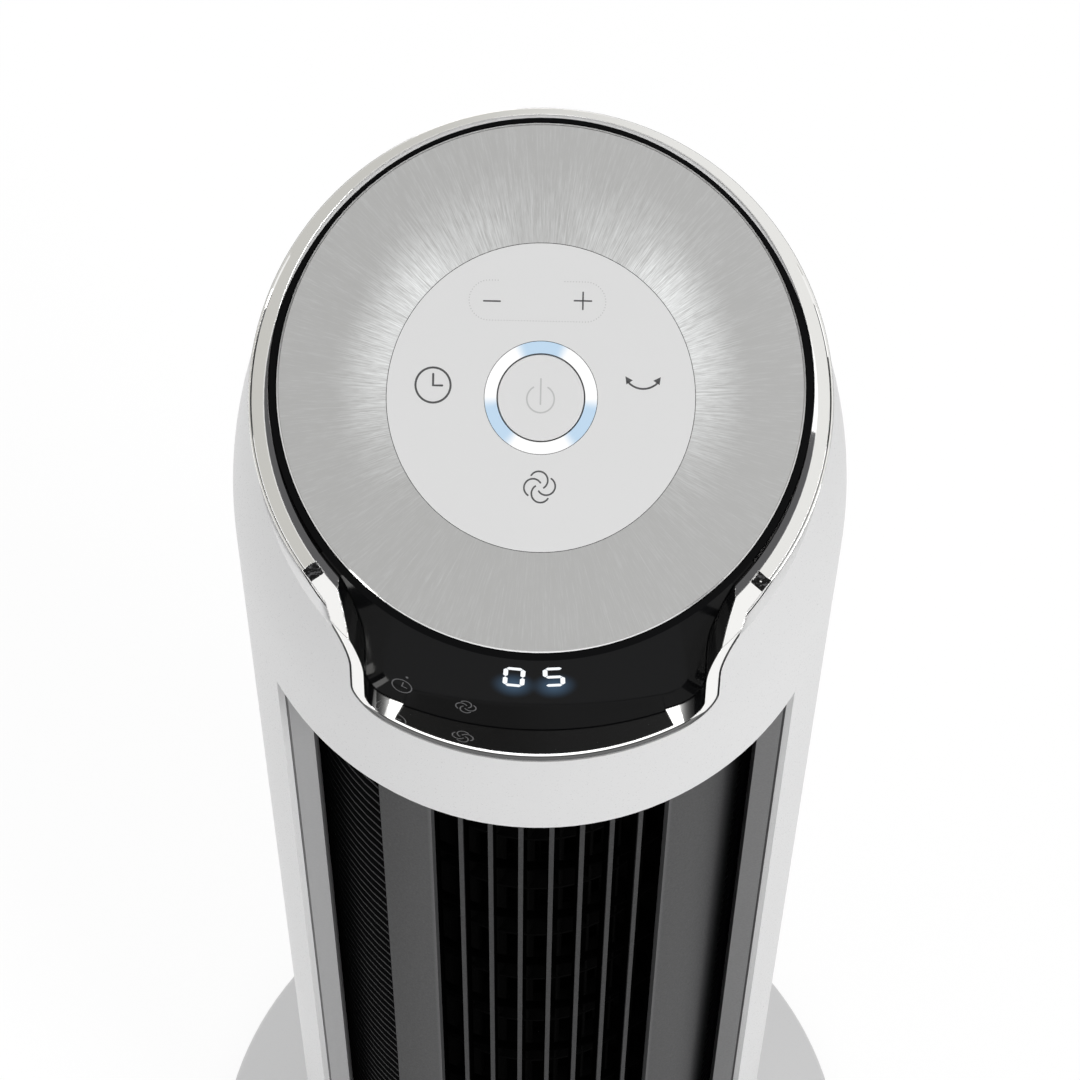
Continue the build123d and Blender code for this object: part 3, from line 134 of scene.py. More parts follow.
# Shader helpers
class Shader:
    """A material with a Principled shader, and short calls that add nodes to it."""

    def __init__(self, name, colour, roughness, metallic=0.0, **sockets):
        self.material = bpy.data.materials.new(name)
        self.material.use_nodes = True
        self.tree = self.material.node_tree
        self.bsdf = self.tree.nodes["Principled BSDF"]
        self.set("Base Color", (*colour, 1))
        self.set("Roughness", roughness)
        self.set("Metallic", metallic)
        for socket, value in sockets.items():
            self.set(socket.replace("_", " "), value)

    def set(self, socket, value):
        self.bsdf.inputs[socket].default_value = value

    def use(self, socket, source):
        self.link(source, self.bsdf.inputs[socket])

    def node(self, kind, **settings):
        made = self.tree.nodes.new(kind)
        for key, value in settings.items():
            setattr(made, key, value)
        return made

    def link(self, source, target):
        self.tree.links.new(source, target)

    def feed(self, target, value):
        """Joins a socket to an input, or sets the input to a plain value."""
        if isinstance(value, bpy.types.NodeSocket):
            self.link(value, target)
        else:
            target.default_value = value

    def position(self):
        return self.node("ShaderNodeTexCoord").outputs["Object"]

    def axes(self, place):
        """The x, y and z of a place."""
        made = self.node("ShaderNodeSeparateXYZ")
        self.link(place, made.inputs[0])
        return tuple(made.outputs)

    def math(self, operation, a, b=0.0):
        made = self.node("ShaderNodeMath", operation=operation)
        self.feed(made.inputs[0], a)
        self.feed(made.inputs[1], b)
        return made.outputs[0]

    def off(self, value, middle):
        """Distance of a value from a middle value."""
        return self.math("ABSOLUTE", self.math("SUBTRACT", value, middle))

    def length(self, a, b):
        squares = [self.math("MULTIPLY", value, value) for value in (a, b)]
        return self.math("SQRT", self.math("ADD", *squares))

    def vector(self, operation, a, b=(0, 0, 0)):
        made = self.node("ShaderNodeVectorMath", operation=operation)
        self.feed(made.inputs[0], a)
        self.feed(made.inputs[1], b)
        return made.outputs["Value"] if operation in ("DOT_PRODUCT", "LENGTH") else made.outputs[0]

    def combine(self, x, y, z):
        made = self.node("ShaderNodeCombineXYZ")
        for target, value in zip(made.inputs, (x, y, z)):
            self.feed(target, value)
        return made.outputs[0]

    def noise(self, place, scale, detail=2.0, roughness=0.5):
        made = self.node("ShaderNodeTexNoise")
        self.feed(made.inputs["Vector"], place)
        made.inputs["Scale"].default_value = scale
        made.inputs["Detail"].default_value = detail
        made.inputs["Roughness"].default_value = roughness
        return made.outputs[0]

    def spread(self, value, low, high, to_low, to_high, smooth=False):
        """Maps a range of a value to another range, and holds it at the ends."""
        made = self.node("ShaderNodeMapRange", interpolation_type="SMOOTHSTEP" if smooth else "LINEAR")
        for target, given in zip(made.inputs, (value, low, high, to_low, to_high)):
            self.feed(target, given)
        return made.outputs[0]

    def mix(self, share, a, b):
        made = self.node("ShaderNodeMix", data_type="RGBA")
        self.feed(made.inputs[0], share)
        for target, colour in zip((made.inputs[6], made.inputs[7]), (a, b)):
            self.feed(target, colour if isinstance(colour, bpy.types.NodeSocket) else (*colour, 1))
        return made.outputs[2]

    def round_edges(self, radius):
        made = self.node("ShaderNodeBevel", samples=6)
        made.inputs["Radius"].default_value = radius
        self.use("Normal", made.outputs[0])

    def bump(self, height, strength=1.0, distance=1.0):
        """Bends the light on the surface by a height, over any bend it already has."""
        made = self.node("ShaderNodeBump")
        made.inputs["Strength"].default_value = strength
        made.inputs["Distance"].default_value = distance
        self.link(height, made.inputs["Height"])
        normal = self.bsdf.inputs["Normal"]
        if normal.links:
            self.link(normal.links[0].from_socket, made.inputs["Normal"])
        self.link(made.outputs[0], normal)

    def uneven_gloss(self, pattern, low, high):
        """Lets the roughness follow a noise pattern between two values."""
        self.use("Roughness", self.spread(pattern, 0.3, 0.7, low, high))

    def shine(self, colour, strength=1.0):
        self.use("Emission Color", colour)
        self.set("Emission Strength", strength)


def moulded(name, colour, roughness, grain, depth, tone=0.04, **sockets):
    """Plastic or paint with a fine surface grain, a little tone drift and uneven gloss."""
    shader = Shader(name, colour, roughness, **sockets)
    place = shader.position()
    drift = shader.noise(place, 14.0, 3.0)
    darker = [c * (1 - tone) for c in colour]
    lighter = [min(1.0, c * (1 + tone)) for c in colour]
    shader.use("Base Color", shader.mix(drift, darker, lighter))
    fine = shader.noise(place, grain)
    shader.uneven_gloss(fine, roughness * 0.9, roughness * 1.12)
    shader.bump(fine, 0.25, depth)
    return shader


def turned_metal(name, colour, roughness, stretch=(1.0, 1.0, 30.0)):
    """Metal with fine lines drawn out across one direction."""
    shader = Shader(name, colour, roughness, metallic=1.0)
    lines = shader.noise(shader.vector("MULTIPLY", shader.position(), stretch), 60.0, 3.0)
    shader.uneven_gloss(lines, roughness * 0.8, roughness * 1.25)
    dull = [c * 0.85 for c in colour]
    shader.use("Base Color", shader.mix(lines, dull, colour))
    return shader


def disc_place(shader, centre):
    """Place on the disc: across, up and distance from a centre, all as sockets."""
    offset = shader.vector("SUBTRACT", shader.position(), tuple(centre))
    across = shader.vector("DOT_PRODUCT", offset, tuple(DISC_X))
    along = shader.vector("DOT_PRODUCT", offset, tuple(DISC_Y))
    return across, along, shader.length(across, along)


def white_plastic():
    """Glossy white; the narrow seams beside other pieces hold a little shade."""
    white, seam_shade, seam_reach = (0.735, 0.735, 0.737), (0.25, 0.25, 0.25), 2.0 * MM
    shader = Shader("white_gloss", white, 0.3)
    near = shader.node("ShaderNodeAmbientOcclusion", samples=4)
    near.inputs["Distance"].default_value = seam_reach
    open_share = shader.spread(near.outputs["AO"], 0.3, 0.75, 0, 1)
    shader.use("Base Color", shader.mix(open_share, seam_shade, white))
    fine = shader.noise(shader.position(), 1600.0)
    shader.uneven_gloss(fine, 0.27, 0.34)
    shader.bump(fine, 0.08, 0.000004)
    return shader


def band_relief(shader, place, haze):
    """Height of the chrome's flat band: a fine groove near the rim, and the bend where the scoop begins."""
    across, along, radius = disc_place(shader, BEZEL_CENTRE)
    from_front = shader.math(
        "ARCTAN2", shader.math("ABSOLUTE", across), shader.math("MULTIPLY", along, -1.0)
    )
    uneven = shader.math("MULTIPLY", shader.math("SUBTRACT", haze, 0.5), 1.2 * MM)
    arc_length = shader.math("ADD", shader.math("MULTIPLY", from_front, BEZEL_RADIUS), uneven)
    steep = shader.spread(arc_length, BEND_LOW, BEND_HIGH, -BEND_DROP, 0.0)
    gentle = shader.spread(arc_length, 0.0, BEND_LOW, -BEND_LOW * BEND_SLOPE, 0.0)
    before_bend = shader.math("GREATER_THAN", arc_length, BEND_HIGH)
    beside = shader.math("MULTIPLY", before_bend, shader.spread(from_front, 1.7, 2.1, 1.0, 0.0))
    cut = shader.spread(shader.off(radius, GROOVE_RADIUS), 0.0, GROOVE_HALF, -GROOVE_HALF, 0.0)
    groove = shader.math("MULTIPLY", cut, beside)
    height = shader.math("ADD", shader.math("ADD", steep, gentle), groove)
    offset = shader.vector("SUBTRACT", place, tuple(DISC_CENTRE))
    on_top = shader.math("GREATER_THAN", shader.vector("DOT_PRODUCT", offset, tuple(DISC_N)), -0.3 * MM)
    return shader.math("MULTIPLY", height, on_top)


def chrome():
    """Bright chrome with the flat band's relief, and a fine dark line of painted shade along the scoop's
    lip, standing in for the shade in a fine groove.
    """
    bright, line_shade = (0.9, 0.895, 0.88), (0.03, 0.03, 0.03)
    shader = Shader("bright_chrome", bright, 0.05, metallic=1.0)
    place = shader.position()
    haze = shader.noise(place, 220.0, 3.0)
    shader.use("Roughness", shader.spread(haze, 0.35, 0.7, 0.03, 0.06))
    x, y, z = shader.axes(place)
    # Painted shade: a thin dark line round the lip, below the lip's height.
    off_line = shader.off(shader.length(x, y), LIP_RADIUS)
    on_lip = shader.math("LESS_THAN", z, LIP_HEIGHT)
    line = shader.math("MULTIPLY", shader.spread(off_line, 0.3 * MM, 0.6 * MM, 1.0, 0.0), on_lip)
    shader.use("Base Color", shader.mix(line, bright, line_shade))
    shader.round_edges(0.5 * MM)
    shader.bump(band_relief(shader, place, haze))
    return shader


def black_gloss():
    """Smoked window and tray. The lit digits shine a little through the window round them."""
    shader = Shader("black_gloss", (0.004, 0.0041, 0.0045), 0.1, Specular_IOR_Level=0.035)
    place = shader.position()
    haze = shader.noise(place, 160.0, 3.0)
    shader.use("Roughness", shader.spread(haze, 0.35, 0.7, 0.07, 0.13))
    glows = []
    for angle in (DIGIT_ZERO_ANGLE, DIGIT_FIVE_ANGLE):
        centre = window_point(angle, GLOW_DEPTH, 0.0)
        away = shader.vector("LENGTH", shader.vector("SUBTRACT", place, tuple(centre)))
        glows.append(shader.spread(away, 0.0, GLOW_REACH, 1.0, 0.0, smooth=True))
    glow = shader.math("ADD", *glows)
    shader.shine(shader.mix(glow, (0.0, 0.0, 0.0), (0.038, 0.077, 0.13)))
    return shader


def brushed_disc():
    """Satin metal brushed outward, with a painted highlight that makes it brightest near the panel on the
    side away from the front.
    """
    # The second colour is the painted highlight's pale bluish white.
    satin, bright, rim_highlight = (0.49, 0.49, 0.487), (0.95, 0.965, 0.97), (0.96, 0.96, 0.96)
    shader = Shader("brushed_disc", satin, 0.36, metallic=1.0)
    across, along, radius = disc_place(shader, PANEL_CENTRE)
    unit_x = shader.math("DIVIDE", across, radius)
    unit_y = shader.math("DIVIDE", along, radius)
    long_place = shader.combine(unit_x, unit_y, shader.math("MULTIPLY", radius, 0.4))
    long_streaks = shader.noise(long_place, 190.0, 2.0, 0.6)
    short_place = shader.combine(unit_x, unit_y, shader.math("MULTIPLY", radius, 1.6))
    short_streaks = shader.noise(short_place, 150.0, 3.0, 0.65)
    streaks = shader.math(
        "ADD", shader.math("MULTIPLY", long_streaks, 0.55), shader.math("MULTIPLY", short_streaks, 0.45)
    )
    # Painted highlight: a halo near the panel, beside it and behind it, where the streaks also show
    # stronger.
    wide = shader.math("ABSOLUTE", unit_x)
    beside = shader.math(
        "MULTIPLY",
        shader.spread(wide, 0.45, 0.8, 0.0, 1.0, smooth=True),
        shader.spread(unit_y, -0.8, 0.4, 0.0, 1.0, smooth=True),
    )
    behind = shader.math(
        "MULTIPLY",
        shader.spread(unit_y, 0.45, 0.85, 0.0, 1.0, smooth=True),
        shader.spread(wide, 0.05, 0.4, 0.45, 1.0, smooth=True),
    )
    short_highlight = shader.spread(radius, PANEL_RADIUS, 71 * MM, 0.62, 0.0, smooth=True)
    long_highlight = shader.spread(radius, PANEL_RADIUS, 82 * MM, 0.32, 0.0, smooth=True)
    painted_halo = shader.math(
        "ADD", shader.math("MULTIPLY", beside, short_highlight), shader.math("MULTIPLY", behind, long_highlight)
    )
    centred = shader.math("MULTIPLY", shader.math("SUBTRACT", streaks, 0.5), 4.0)
    lively = shader.math("ADD", shader.math("MULTIPLY", painted_halo, 0.9), 0.17)
    shade = shader.math("ADD", painted_halo, shader.math("MULTIPLY", centred, lively))
    face = shader.mix(shader.spread(shade, 0, 1, 0, 1), satin, bright)
    # A thin painted highlight along the disc's rim.
    _, _, from_centre = disc_place(shader, DISC_CENTRE)
    rim = shader.spread(from_centre, DISC_RADIUS - 0.55 * MM, DISC_RADIUS - 0.35 * MM, 0, 1)
    shader.use("Base Color", shader.mix(rim, face, rim_highlight))
    shader.uneven_gloss(streaks, 0.3, 0.42)
    shader.bump(streaks, 0.2, 0.00002)
    return shader


def lit_ring():
    """White light with three pale blue lengths."""
    shader = Shader("lit_ring", (0.05, 0.05, 0.05), 0.4, Specular_IOR_Level=0.1)
    across, along, _ = disc_place(shader, PANEL_CENTRE)
    angle = shader.math("SUBTRACT", shader.math("ARCTAN2", along, across), math.pi / 2)
    thrice = shader.math("COSINE", shader.math("MULTIPLY", angle, 3.0))
    blue = shader.spread(thrice, -0.1, 0.65, 0, 1, smooth=True)
    shader.shine(shader.mix(blue, (1, 1, 1), (0.5, 0.67, 0.84)), 0.97)
    return shader


def lit_digits():
    """White light with a faint blue drift."""
    shader = Shader("lit_digits", (0.02, 0.02, 0.02), 0.4)
    uneven = shader.noise(shader.position(), 500.0)
    shader.shine(shader.mix(uneven, (0.86, 0.93, 1.0), (1.0, 1.0, 1.0)))
    return shader


def outlet_plastic():
    """Grey front edges on the bars; what lies behind them is painted near black, as shade deep in the
    outlet.
    """
    grey, outlet_shade = (0.017, 0.017, 0.018), (0.001, 0.001, 0.001)
    shader = Shader("outlet_plastic", grey, 0.45)
    place = shader.position()
    x, y, _ = shader.axes(place)
    # Painted shade behind the bars' front edges, without gloss.
    front = shader.spread(shader.length(x, y), OUTLET_SHADE_RADIUS, OUTLET_SHADE_RADIUS + 0.8 * MM, 0, 1)
    shader.use("Base Color", shader.mix(front, outlet_shade, grey))
    shader.use("Specular IOR Level", shader.math("MULTIPLY", front, 0.06))
    shader.uneven_gloss(shader.noise(place, 1200.0), 0.42, 0.55)
    return shader


def drum_plastic():
    """Dark grey panel with a painted highlight on the corners beside the outlet, and painted shade where it
    turns away at its edges.
    """
    grey, edge_shade, corner_highlight = (0.034, 0.034, 0.0355), (0.002, 0.002, 0.002), (0.075, 0.075, 0.077)
    shader = Shader("drum_grey", grey, 0.45)
    place = shader.position()
    x, y, _ = shader.axes(place)
    angle = shader.math("ARCTAN2", x, shader.math("MULTIPLY", y, -1.0))
    # Painted shade towards the panel's edges, deeper on the right; its gloss fades with it.
    right = shader.spread(angle, math.radians(51), math.radians(59.5), 1.0, 0.2, smooth=True)
    left = shader.spread(angle, math.radians(-40), math.radians(-24), 0.65, 1.0, smooth=True)
    lit = shader.math("MULTIPLY", right, left)
    from_outlet = shader.off(angle, DRUM_TURN)
    # Painted highlight on the corners beside the outlet.
    corner = shader.spread(from_outlet, math.radians(29.5), math.radians(30.6), 1.0, 0.0)
    face = shader.mix(lit, edge_shade, grey)
    shader.use("Base Color", shader.mix(corner, face, corner_highlight))
    shader.use("Specular IOR Level", shader.math("MULTIPLY", lit, 0.08))
    fine = shader.noise(place, 1200.0)
    shader.uneven_gloss(fine, 0.41, 0.5)
    shader.bump(fine, 0.25, 0.00001)
    return shader


# One shader for each material slot of the CAD model, and some for single pieces
shaders = {
    "white_housing": white_plastic(),
    "base_metal": moulded("black_paint", (0.05, 0.05, 0.052), 0.5, 700.0, 0.00005),
    "steel": turned_metal("plated_steel", (0.5, 0.5, 0.51), 0.35),
    "iron": moulded("cast_iron", (0.09, 0.09, 0.09), 0.75, 260.0, 0.0004, tone=0.2),
    "rubber": moulded("rubber", (0.02, 0.02, 0.021), 0.75, 900.0, 0.0001),
    "neck_plastic": moulded("grey_neck", (0.1, 0.1, 0.105), 0.5, 1100.0, 0.00003),
    "board": moulded("circuit_board", (0.02, 0.13, 0.05), 0.45, 300.0, 0.0001, tone=0.15),
    "dark_plastic": moulded(
        "dark_plastic", (0.009, 0.009, 0.0095), 0.5, 1100.0, 0.00003, Specular_IOR_Level=0.06
    ),
    "bearing_plastic": moulded("bearing_plastic", (0.68, 0.66, 0.6), 0.4, 800.0, 0.00004),
    "bearing_brass": turned_metal("bearing_brass", (0.7, 0.5, 0.22), 0.3),
    "motor_steel": turned_metal("motor_zinc", (0.45, 0.46, 0.47), 0.4),
    "shaft_steel": turned_metal("ground_steel", (0.6, 0.6, 0.61), 0.22),
    "grey_strip": moulded("grey_satin", (0.29, 0.29, 0.294), 0.4, 1200.0, 0.00001),
    "chrome": chrome(),
    "black_cowl": black_gloss(),
    "disc_metal": brushed_disc(),
    "panel_white": moulded("panel_white", (0.745, 0.745, 0.745), 0.4, 1500.0, 0.000004, tone=0.008),
    "light_ring": lit_ring(),
    "display_glass": moulded("display_glass", (0.01, 0.012, 0.016), 0.2, 600.0, 0.00001),
    "drum_grey": drum_plastic(),
    "impeller_plastic": moulded(
        "impeller_plastic", (0.005, 0.005, 0.005), 0.8, 900.0, 0.00002, Specular_IOR_Level=0.0
    ),
}
own_shaders = {
    "drum_guard": moulded(
        "fin_black", (0.008, 0.008, 0.0085), 0.5, 1100.0, 0.00001, Specular_IOR_Level=0.03
    ),
    "outlet_grille": outlet_plastic(),
    # The right strip is a darker copy of the grey satin: painted shade.
    "right_strip": moulded(
        "grey_satin_shaded", (0.085, 0.085, 0.087), 0.4, 1200.0, 0.00001, Specular_IOR_Level=0.35
    ),
    "scroll_wall": shaders["impeller_plastic"],
    "stabilizer": shaders["impeller_plastic"],
    "fan_motor": shaders["base_metal"],
}
ink = moulded("grey_ink", (0.07, 0.07, 0.072), 0.5, 2400.0, 0.000003)
pale_ink = moulded("pale_ink", (0.53, 0.53, 0.53), 0.5, 2400.0, 0.000003)
dim_ink = moulded("dim_ink", (0.1, 0.1, 0.105), 0.5, 2400.0, 0.000003)
digits = lit_digits()
node_slots = {row["node"]: row["material_slot"] for row in frame["record"]["subparts"]}
for name, obj in nodes.items():
    shader = own_shaders.get(name, shaders[node_slots[name]])
    obj.data.materials.clear()
    obj.data.materials.append(shader.material)


def new_piece(name, vertices, faces, shader):
    """Adds a mesh object with one material to the scene."""
    mesh = bpy.data.meshes.new(name)
    mesh.from_pydata(vertices, [], faces)
    mesh.materials.append(shader.material)
    piece = bpy.data.objects.new(name, mesh)
    bpy.context.scene.collection.objects.link(piece)
    return piece


# Printed signs and lit digits: flat strokes, in millimetres, laid on the panel, the button and the window
def arc(x, y, radius, start, end):
    """Points of an arc, angles in degrees."""
    count = max(4, int(abs(end - start) / 9))
    turns = [math.radians(start + (end - start) * i / count) for i in range(count + 1)]
    return [(x + radius * math.cos(turn), y + radius * math.sin(turn)) for turn in turns]


def stroke(points, width, closed=False):
    """Polygons of a line of some width along points, with round ends."""
    half = width / 2
    last = len(points) - 1
    sides = []
    for i, (x, y) in enumerate(points):
        before = points[i - 1] if i or closed else points[0]
        after = points[(i + 1) % len(points)] if i < last or closed else points[last]
        direction = Vector((after[0] - before[0], after[1] - before[1])).normalized()
        reach = half
        if before != (x, y) and after != (x, y):
            incoming = Vector((x - before[0], y - before[1])).normalized()
            reach = half / max(0.4, incoming.dot(direction))
        side_x, side_y = -direction.y * reach, direction.x * reach
        sides.append(((x + side_x, y + side_y), (x - side_x, y - side_y)))
    spans = list(zip(sides, sides[1:] + sides[:1] if closed else sides[1:]))
    polygons = [[a[1], b[1], b[0], a[0]] for a, b in spans]
    if not closed:
        for (x, y), (other_x, other_y) in ((points[0], points[1]), (points[last], points[last - 1])):
            heading = math.degrees(math.atan2(y - other_y, x - other_x))
            polygons.append(arc(x, y, half, heading - 90, heading + 90))
    return polygons


def add_print(name, polygons, place, shader, body):
    """Lays flat polygons on a surface, through a function that places their points."""
    vertices, faces = [], []
    for polygon in polygons:
        faces.append(list(range(len(vertices), len(vertices) + len(polygon))))
        vertices.extend(place(x, y) for x, y in polygon)
    piece = new_piece(name, vertices, faces, shader)
    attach(piece, body)


def panel_place(x, y):
    return PANEL_CENTRE + DISC_X * x * MM + DISC_Y * y * MM + DISC_N * INK


def button_place(x, y):
    return panel_place(x, y) + DISC_N * BUTTON_PROUD


def window_place(angle, depth):
    """Places points about a spot on the window, x across and y up its slope."""

    def place(x, y):
        lower = depth - y * math.cos(WINDOW_ANGLE)
        return window_point(angle + math.degrees(x * MM / window_radius(lower)), lower, INK)

    return place


def clock_sign(x, y, radius, width):
    hands = [(x, y + radius * 0.63), (x, y - 0.1), (x + radius * 0.52, y - 0.1)]
    return stroke(arc(x, y, radius, 0, 351), width, closed=True) + stroke(hands, width)


def swirl_sign(x, y, size, width):
    """Four hooked blades round a centre."""
    polygons = []
    for quarter in range(4):
        turn = 98 - 90 * quarter
        blade_x = x + 0.43 * size * math.cos(math.radians(turn))
        blade_y = y + 0.43 * size * math.sin(math.radians(turn))
        polygons += stroke(arc(blade_x, blade_y, 0.58 * size, turn + 49, turn - 153), width)
    return polygons


def swing_sign(x, y):
    """Hanging arc with an arrow head at each end."""
    polygons = stroke(arc(x, y + 4.75, 6.7, 222, 318), 0.62)
    for side in (-1, 1):
        head = [(x + side * 5.8, y + 2.05), (x + side * 5.45, y - 0.6), (x + side * 3.35, y + 0.8)]
        polygons.append(head[::side])
    return polygons


def dotted_frame(left, right, low, high, gap_left, gap_right):
    """Small dots along a long round-ended frame, with a gap in its upper line."""
    dot_radius, dot_step = 0.18, 0.95
    radius = (high - low) / 2
    level = (high + low) / 2
    outline = arc(right - radius, level, radius, -90, 90) + arc(left + radius, level, radius, 90, 270)
    outline.append(outline[0])
    polygons = []
    carry = 0.0
    for (x0, y0), (x1, y1) in zip(outline, outline[1:]):
        length = math.hypot(x1 - x0, y1 - y0)
        while carry < length:
            x = x0 + (x1 - x0) * carry / length
            y = y0 + (y1 - y0) * carry / length
            if not (gap_left < x < gap_right and y > level):
                polygons.append(arc(x, y, dot_radius, 0, 324))
            carry += dot_step
        carry -= length
    return polygons


SEGMENTS = {
    "a": (-1, 1, 1, 1),
    "b": (1, 1, 1, 0),
    "c": (1, 0, 1, -1),
    "d": (-1, -1, 1, -1),
    "e": (-1, 0, -1, -1),
    "f": (-1, 1, -1, 0),
    "g": (-1, 0, 1, 0),
}


def digit(names):
    """Seven-segment digit: bars with pointed ends that leave thin gaps."""
    half_width, half_height, half_bar, gap = 2.85, 4.9, 0.78, 0.12
    polygons = []
    for name in names:
        x0, y0, x1, y1 = SEGMENTS[name]
        start = Vector((x0 * half_width, y0 * half_height))
        end = Vector((x1 * half_width, y1 * half_height))
        along = (end - start).normalized()
        side = Vector((-along.y, along.x)) * half_bar
        start += along * gap
        end -= along * gap
        near, far = start + along * half_bar, end - along * half_bar
        outline = [start, near - side, far - side, end, far + side, near + side]
        polygons.append([tuple(point) for point in outline])
    return polygons


signs = clock_sign(-35.41, 3.43, 5.75, 0.68)
signs += swing_sign(33.34, 5.57)
signs += swirl_sign(0.2, -29.22, 5.1, 0.55)
signs += stroke([(-19.4, 31.33), (-14.0, 31.33)], 0.5)
signs += stroke([(10.3, 32.0), (15.9, 32.0)], 0.5) + stroke([(13.1, 29.2), (13.1, 34.8)], 0.5)
add_print("panel_signs", signs, panel_place, ink, "stand")
dots = dotted_frame(-24.2, 20.6, 25.1, 38.2, -14.5, 7.0)
add_print("panel_dots", dots, panel_place, pale_ink, "stand")
power_sign = stroke(arc(-0.1, -0.4, 4.5, 122, 418), 0.5) + stroke([(-0.1, 6.2), (-0.1, -2.1)], 0.5)
add_print("button_sign", power_sign, button_place, pale_ink, "button")
add_print("digit_zero", digit("abcdef"), window_place(DIGIT_ZERO_ANGLE, 9.6), digits, "stand")
add_print("digit_five", digit("afgcd"), window_place(DIGIT_FIVE_ANGLE, 9.1), digits, "stand")
timer_place = window_place(-23.9, 28.4)
add_print("timer_sign", clock_sign(0, 0, 3.5, 0.42), timer_place, dim_ink, "stand")
add_print("timer_dot", [arc(0.4, 6.0, 0.5, 0, 340)], timer_place, dim_ink, "stand")
add_print("mode_sign", swirl_sign(0, 0, 3.4, 0.42), window_place(-12.1, 27.8), dim_ink, "stand")


def add_filter():
    """Dust filter: a thin dark cloth behind the rear louvres."""
    inner, outer = 98.8 * MM, 99.3 * MM
    low, high = BAND_HEIGHT - 712 * MM, BAND_HEIGHT - 28 * MM
    turns = [math.radians(40 + 2.5 * step) for step in range(41)]
    corners = ((inner, low), (outer, low), (outer, high), (inner, high))
    vertices = [(r * math.cos(turn), r * math.sin(turn), z) for turn in turns for r, z in corners]
    faces = [(0, 1, 2, 3), tuple(len(vertices) - 1 - i for i in range(4))]
    for step in range(0, len(vertices) - 4, 4):
        faces += [(step + i, step + 4 + i, step + 4 + (i + 1) % 4, step + (i + 1) % 4) for i in range(4)]
    cloth = Shader("filter_cloth", (0.006, 0.006, 0.0065), 0.85, Specular_IOR_Level=0.1)
    weave = cloth.node("ShaderNodeTexChecker")
    cloth.link(cloth.position(), weave.inputs["Vector"])
    weave.inputs["Scale"].default_value = 900.0
    cloth.bump(weave.outputs["Fac"], 0.3, 0.0002)
    piece = new_piece("dust_filter", vertices, faces, cloth)
    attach(piece, "stand")


add_filter()


# Stage: pale floor, white backdrop, soft lamps, and flags and a card that only mirrors see
def seen_directly(tree):
    """Share of rays that see the backdrop itself: camera, glossy and transmission rays."""
    path = tree.nodes.new("ShaderNodeLightPath")
    share = path.outputs["Is Camera Ray"]
    for kind in ("Is Glossy Ray", "Is Transmission Ray"):
        larger = tree.nodes.new("ShaderNodeMath")
        larger.operation = "MAXIMUM"
        tree.links.new(share, larger.inputs[0])
        tree.links.new(path.outputs[kind], larger.inputs[1])
        share = larger.outputs[0]
    return share


def mix_shaders(tree, share, first, second, output):
    """Joins two shaders by a share into a tree's output node."""
    mixed = tree.nodes.new("ShaderNodeMixShader")
    for target, source in zip(mixed.inputs, (share, first, second)):
        tree.links.new(source, target)
    tree.links.new(mixed.outputs[0], tree.nodes[output].inputs[0])


def make_world(light):
    """White to the eye and in mirrors, but a softer light on the object."""
    world = bpy.data.worlds.new("studio")
    world.use_nodes = True
    tree = world.node_tree
    backgrounds = (tree.nodes["Background"], tree.nodes.new("ShaderNodeBackground"))
    for background, strength in zip(backgrounds, (light, 1.0)):
        background.inputs["Color"].default_value = (1, 1, 1, 1)
        background.inputs["Strength"].default_value = strength
    outputs = [background.outputs[0] for background in backgrounds]
    mix_shaders(tree, seen_directly(tree), *outputs, "World Output")
    bpy.context.scene.world = world


def make_floor(reach, albedo, glow_share, glow_strength):
    """Pale floor that keeps the object's shadow and glows a little, so that it looks white."""
    paper = Shader("floor", (albedo, albedo, albedo), 0.9)
    tree = paper.tree
    glow = tree.nodes.new("ShaderNodeEmission")
    glow.inputs["Color"].default_value = (1, 1, 1, 1)
    glow.inputs["Strength"].default_value = glow_strength
    share = paper.math("MULTIPLY", seen_directly(tree), glow_share)
    mix_shaders(tree, share, paper.bsdf.outputs[0], glow.outputs[0], "Material Output")
    corners = [(-reach, -reach, 0), (reach, -reach, 0), (reach, reach, 0), (-reach, reach, 0)]
    floor = new_piece("floor", corners, [(0, 1, 2, 3)], paper)


def add_mirror_piece(name, vertices, faces, shader):
    """Stage piece that only glossy rays see."""
    piece = new_piece(name, vertices, faces, shader)
    piece.visible_camera = False
    piece.visible_diffuse = False
    piece.visible_shadow = False
    piece.visible_transmission = False


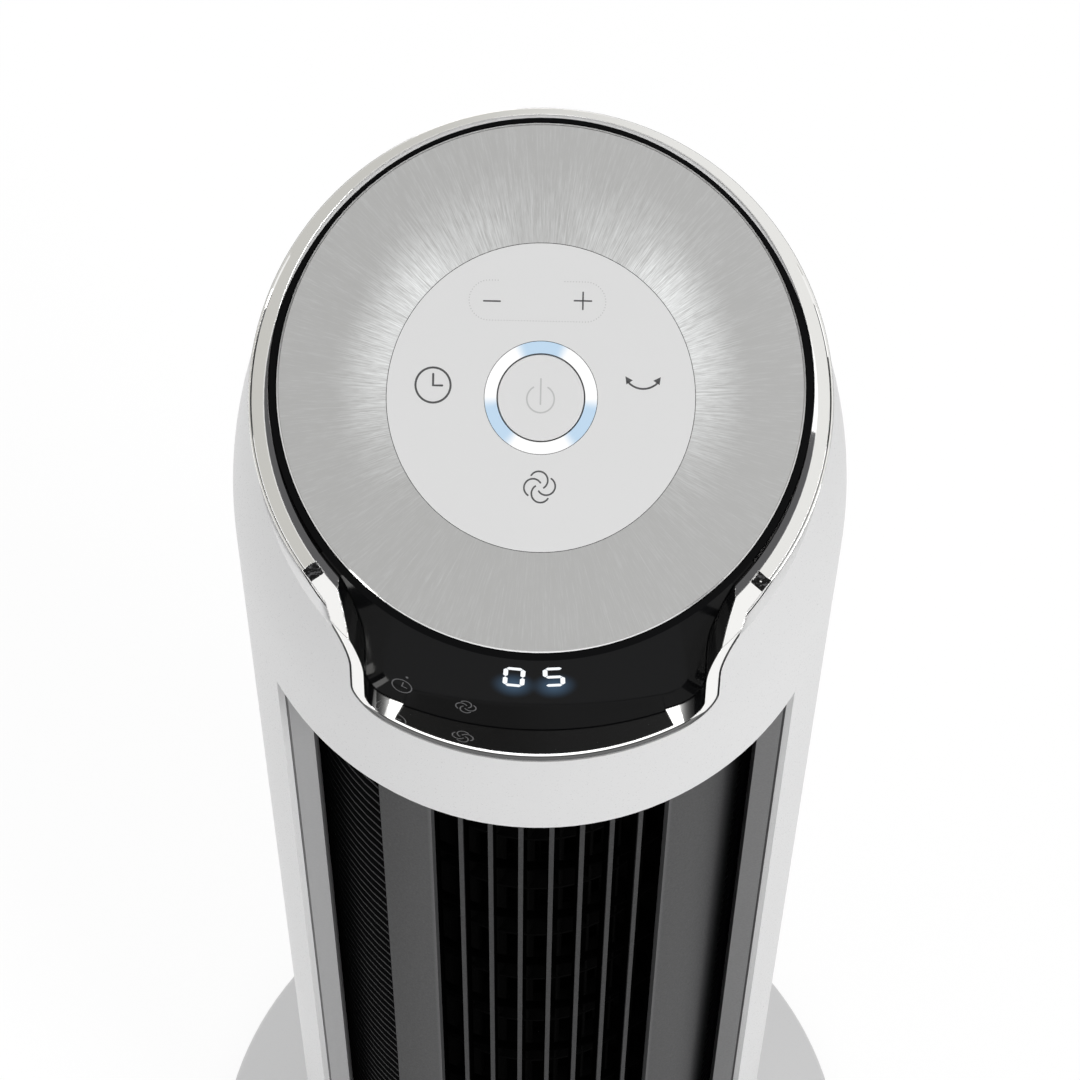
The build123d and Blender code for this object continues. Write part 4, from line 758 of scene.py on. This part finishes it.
def add_flag(name, start, low, high):
    """Dark half round wall, as studio flags that draw the edges of bright metal."""
    radius, steps = 3, 18
    turns = [math.radians(start + 180 * step / steps) for step in range(steps + 1)]
    ring = [(radius * math.cos(turn), radius * math.sin(turn)) for turn in turns]
    vertices = [(x, y, height) for height in (low, high) for x, y in ring]
    faces = [(i, i + 1, len(ring) + i + 1, len(ring) + i) for i in range(steps)]
    cloth = Shader("flag_cloth", (0.0, 0.0, 0.0), 0.9, Specular_IOR_Level=0.0)
    _, _, z = cloth.axes(cloth.position())
    lighter = cloth.spread(z, 1.4, 2.1, 0.0, 1.0, smooth=True)
    cloth.shine(cloth.mix(lighter, (0.012, 0.012, 0.012), (0.11, 0.11, 0.115)))
    add_mirror_piece(name, vertices, faces, cloth)


def add_card(name, centre, half):
    """Card over the disc, greyer on the left: it tones the flat chrome band."""
    across, along = DISC_X * half, DISC_Y * half
    vertices = [centre + across * x + along * y for x, y in ((-1, -1), (1, -1), (1, 1), (-1, 1))]
    paper = Shader("card_paper", (0.0, 0.0, 0.0), 0.9, Specular_IOR_Level=0.0)
    x, _, _ = paper.axes(paper.position())
    right = paper.spread(x, -0.12, 0.12, 0.0, 1.0, smooth=True)
    paper.shine(paper.mix(right, (0.62, 0.615, 0.59), (0.88, 0.88, 0.87)))
    add_mirror_piece(name, vertices, [(0, 1, 2, 3)], paper)


def add_light(name, place, target, size, power):
    data = bpy.data.lights.new(name, "AREA")
    data.shape = "DISK"
    data.size = size
    data.energy = power
    lamp = bpy.data.objects.new(name, data)
    lamp.location = place
    lamp.rotation_euler = (Vector(target) - Vector(place)).to_track_quat("-Z", "Y").to_euler()
    bpy.context.scene.collection.objects.link(lamp)


bpy.context.scene.view_settings.view_transform = "Standard"
make_floor(reach=40.0, albedo=0.65, glow_share=0.75, glow_strength=1.15)
make_world(light=0.55)
add_flag("flag_front", start=180, low=0.95, high=3.1)
add_flag("flag_back", start=0, low=0.95, high=4.5)
add_card("overhead_card", DISC_CENTRE + DISC_N * 2.6, half=0.5)
add_light("key", (1.6, -1.5, 2.3), (0, 0, 1.0), size=1.0, power=24)
add_light("left", (-1.8, -0.8, 1.8), (0, 0, 0.9), size=1.4, power=6)
add_light("top", (-0.3, 1.0, 3.0), (0, 0, 1.0), size=1.4, power=5)
add_light("rear", (-0.7, 2.4, 1.5), (0, 0, 0.8), size=1.4, power=9)
add_light("front", (0.0, -2.4, 1.0), (0, 0, 0.8), size=1.0, power=5)
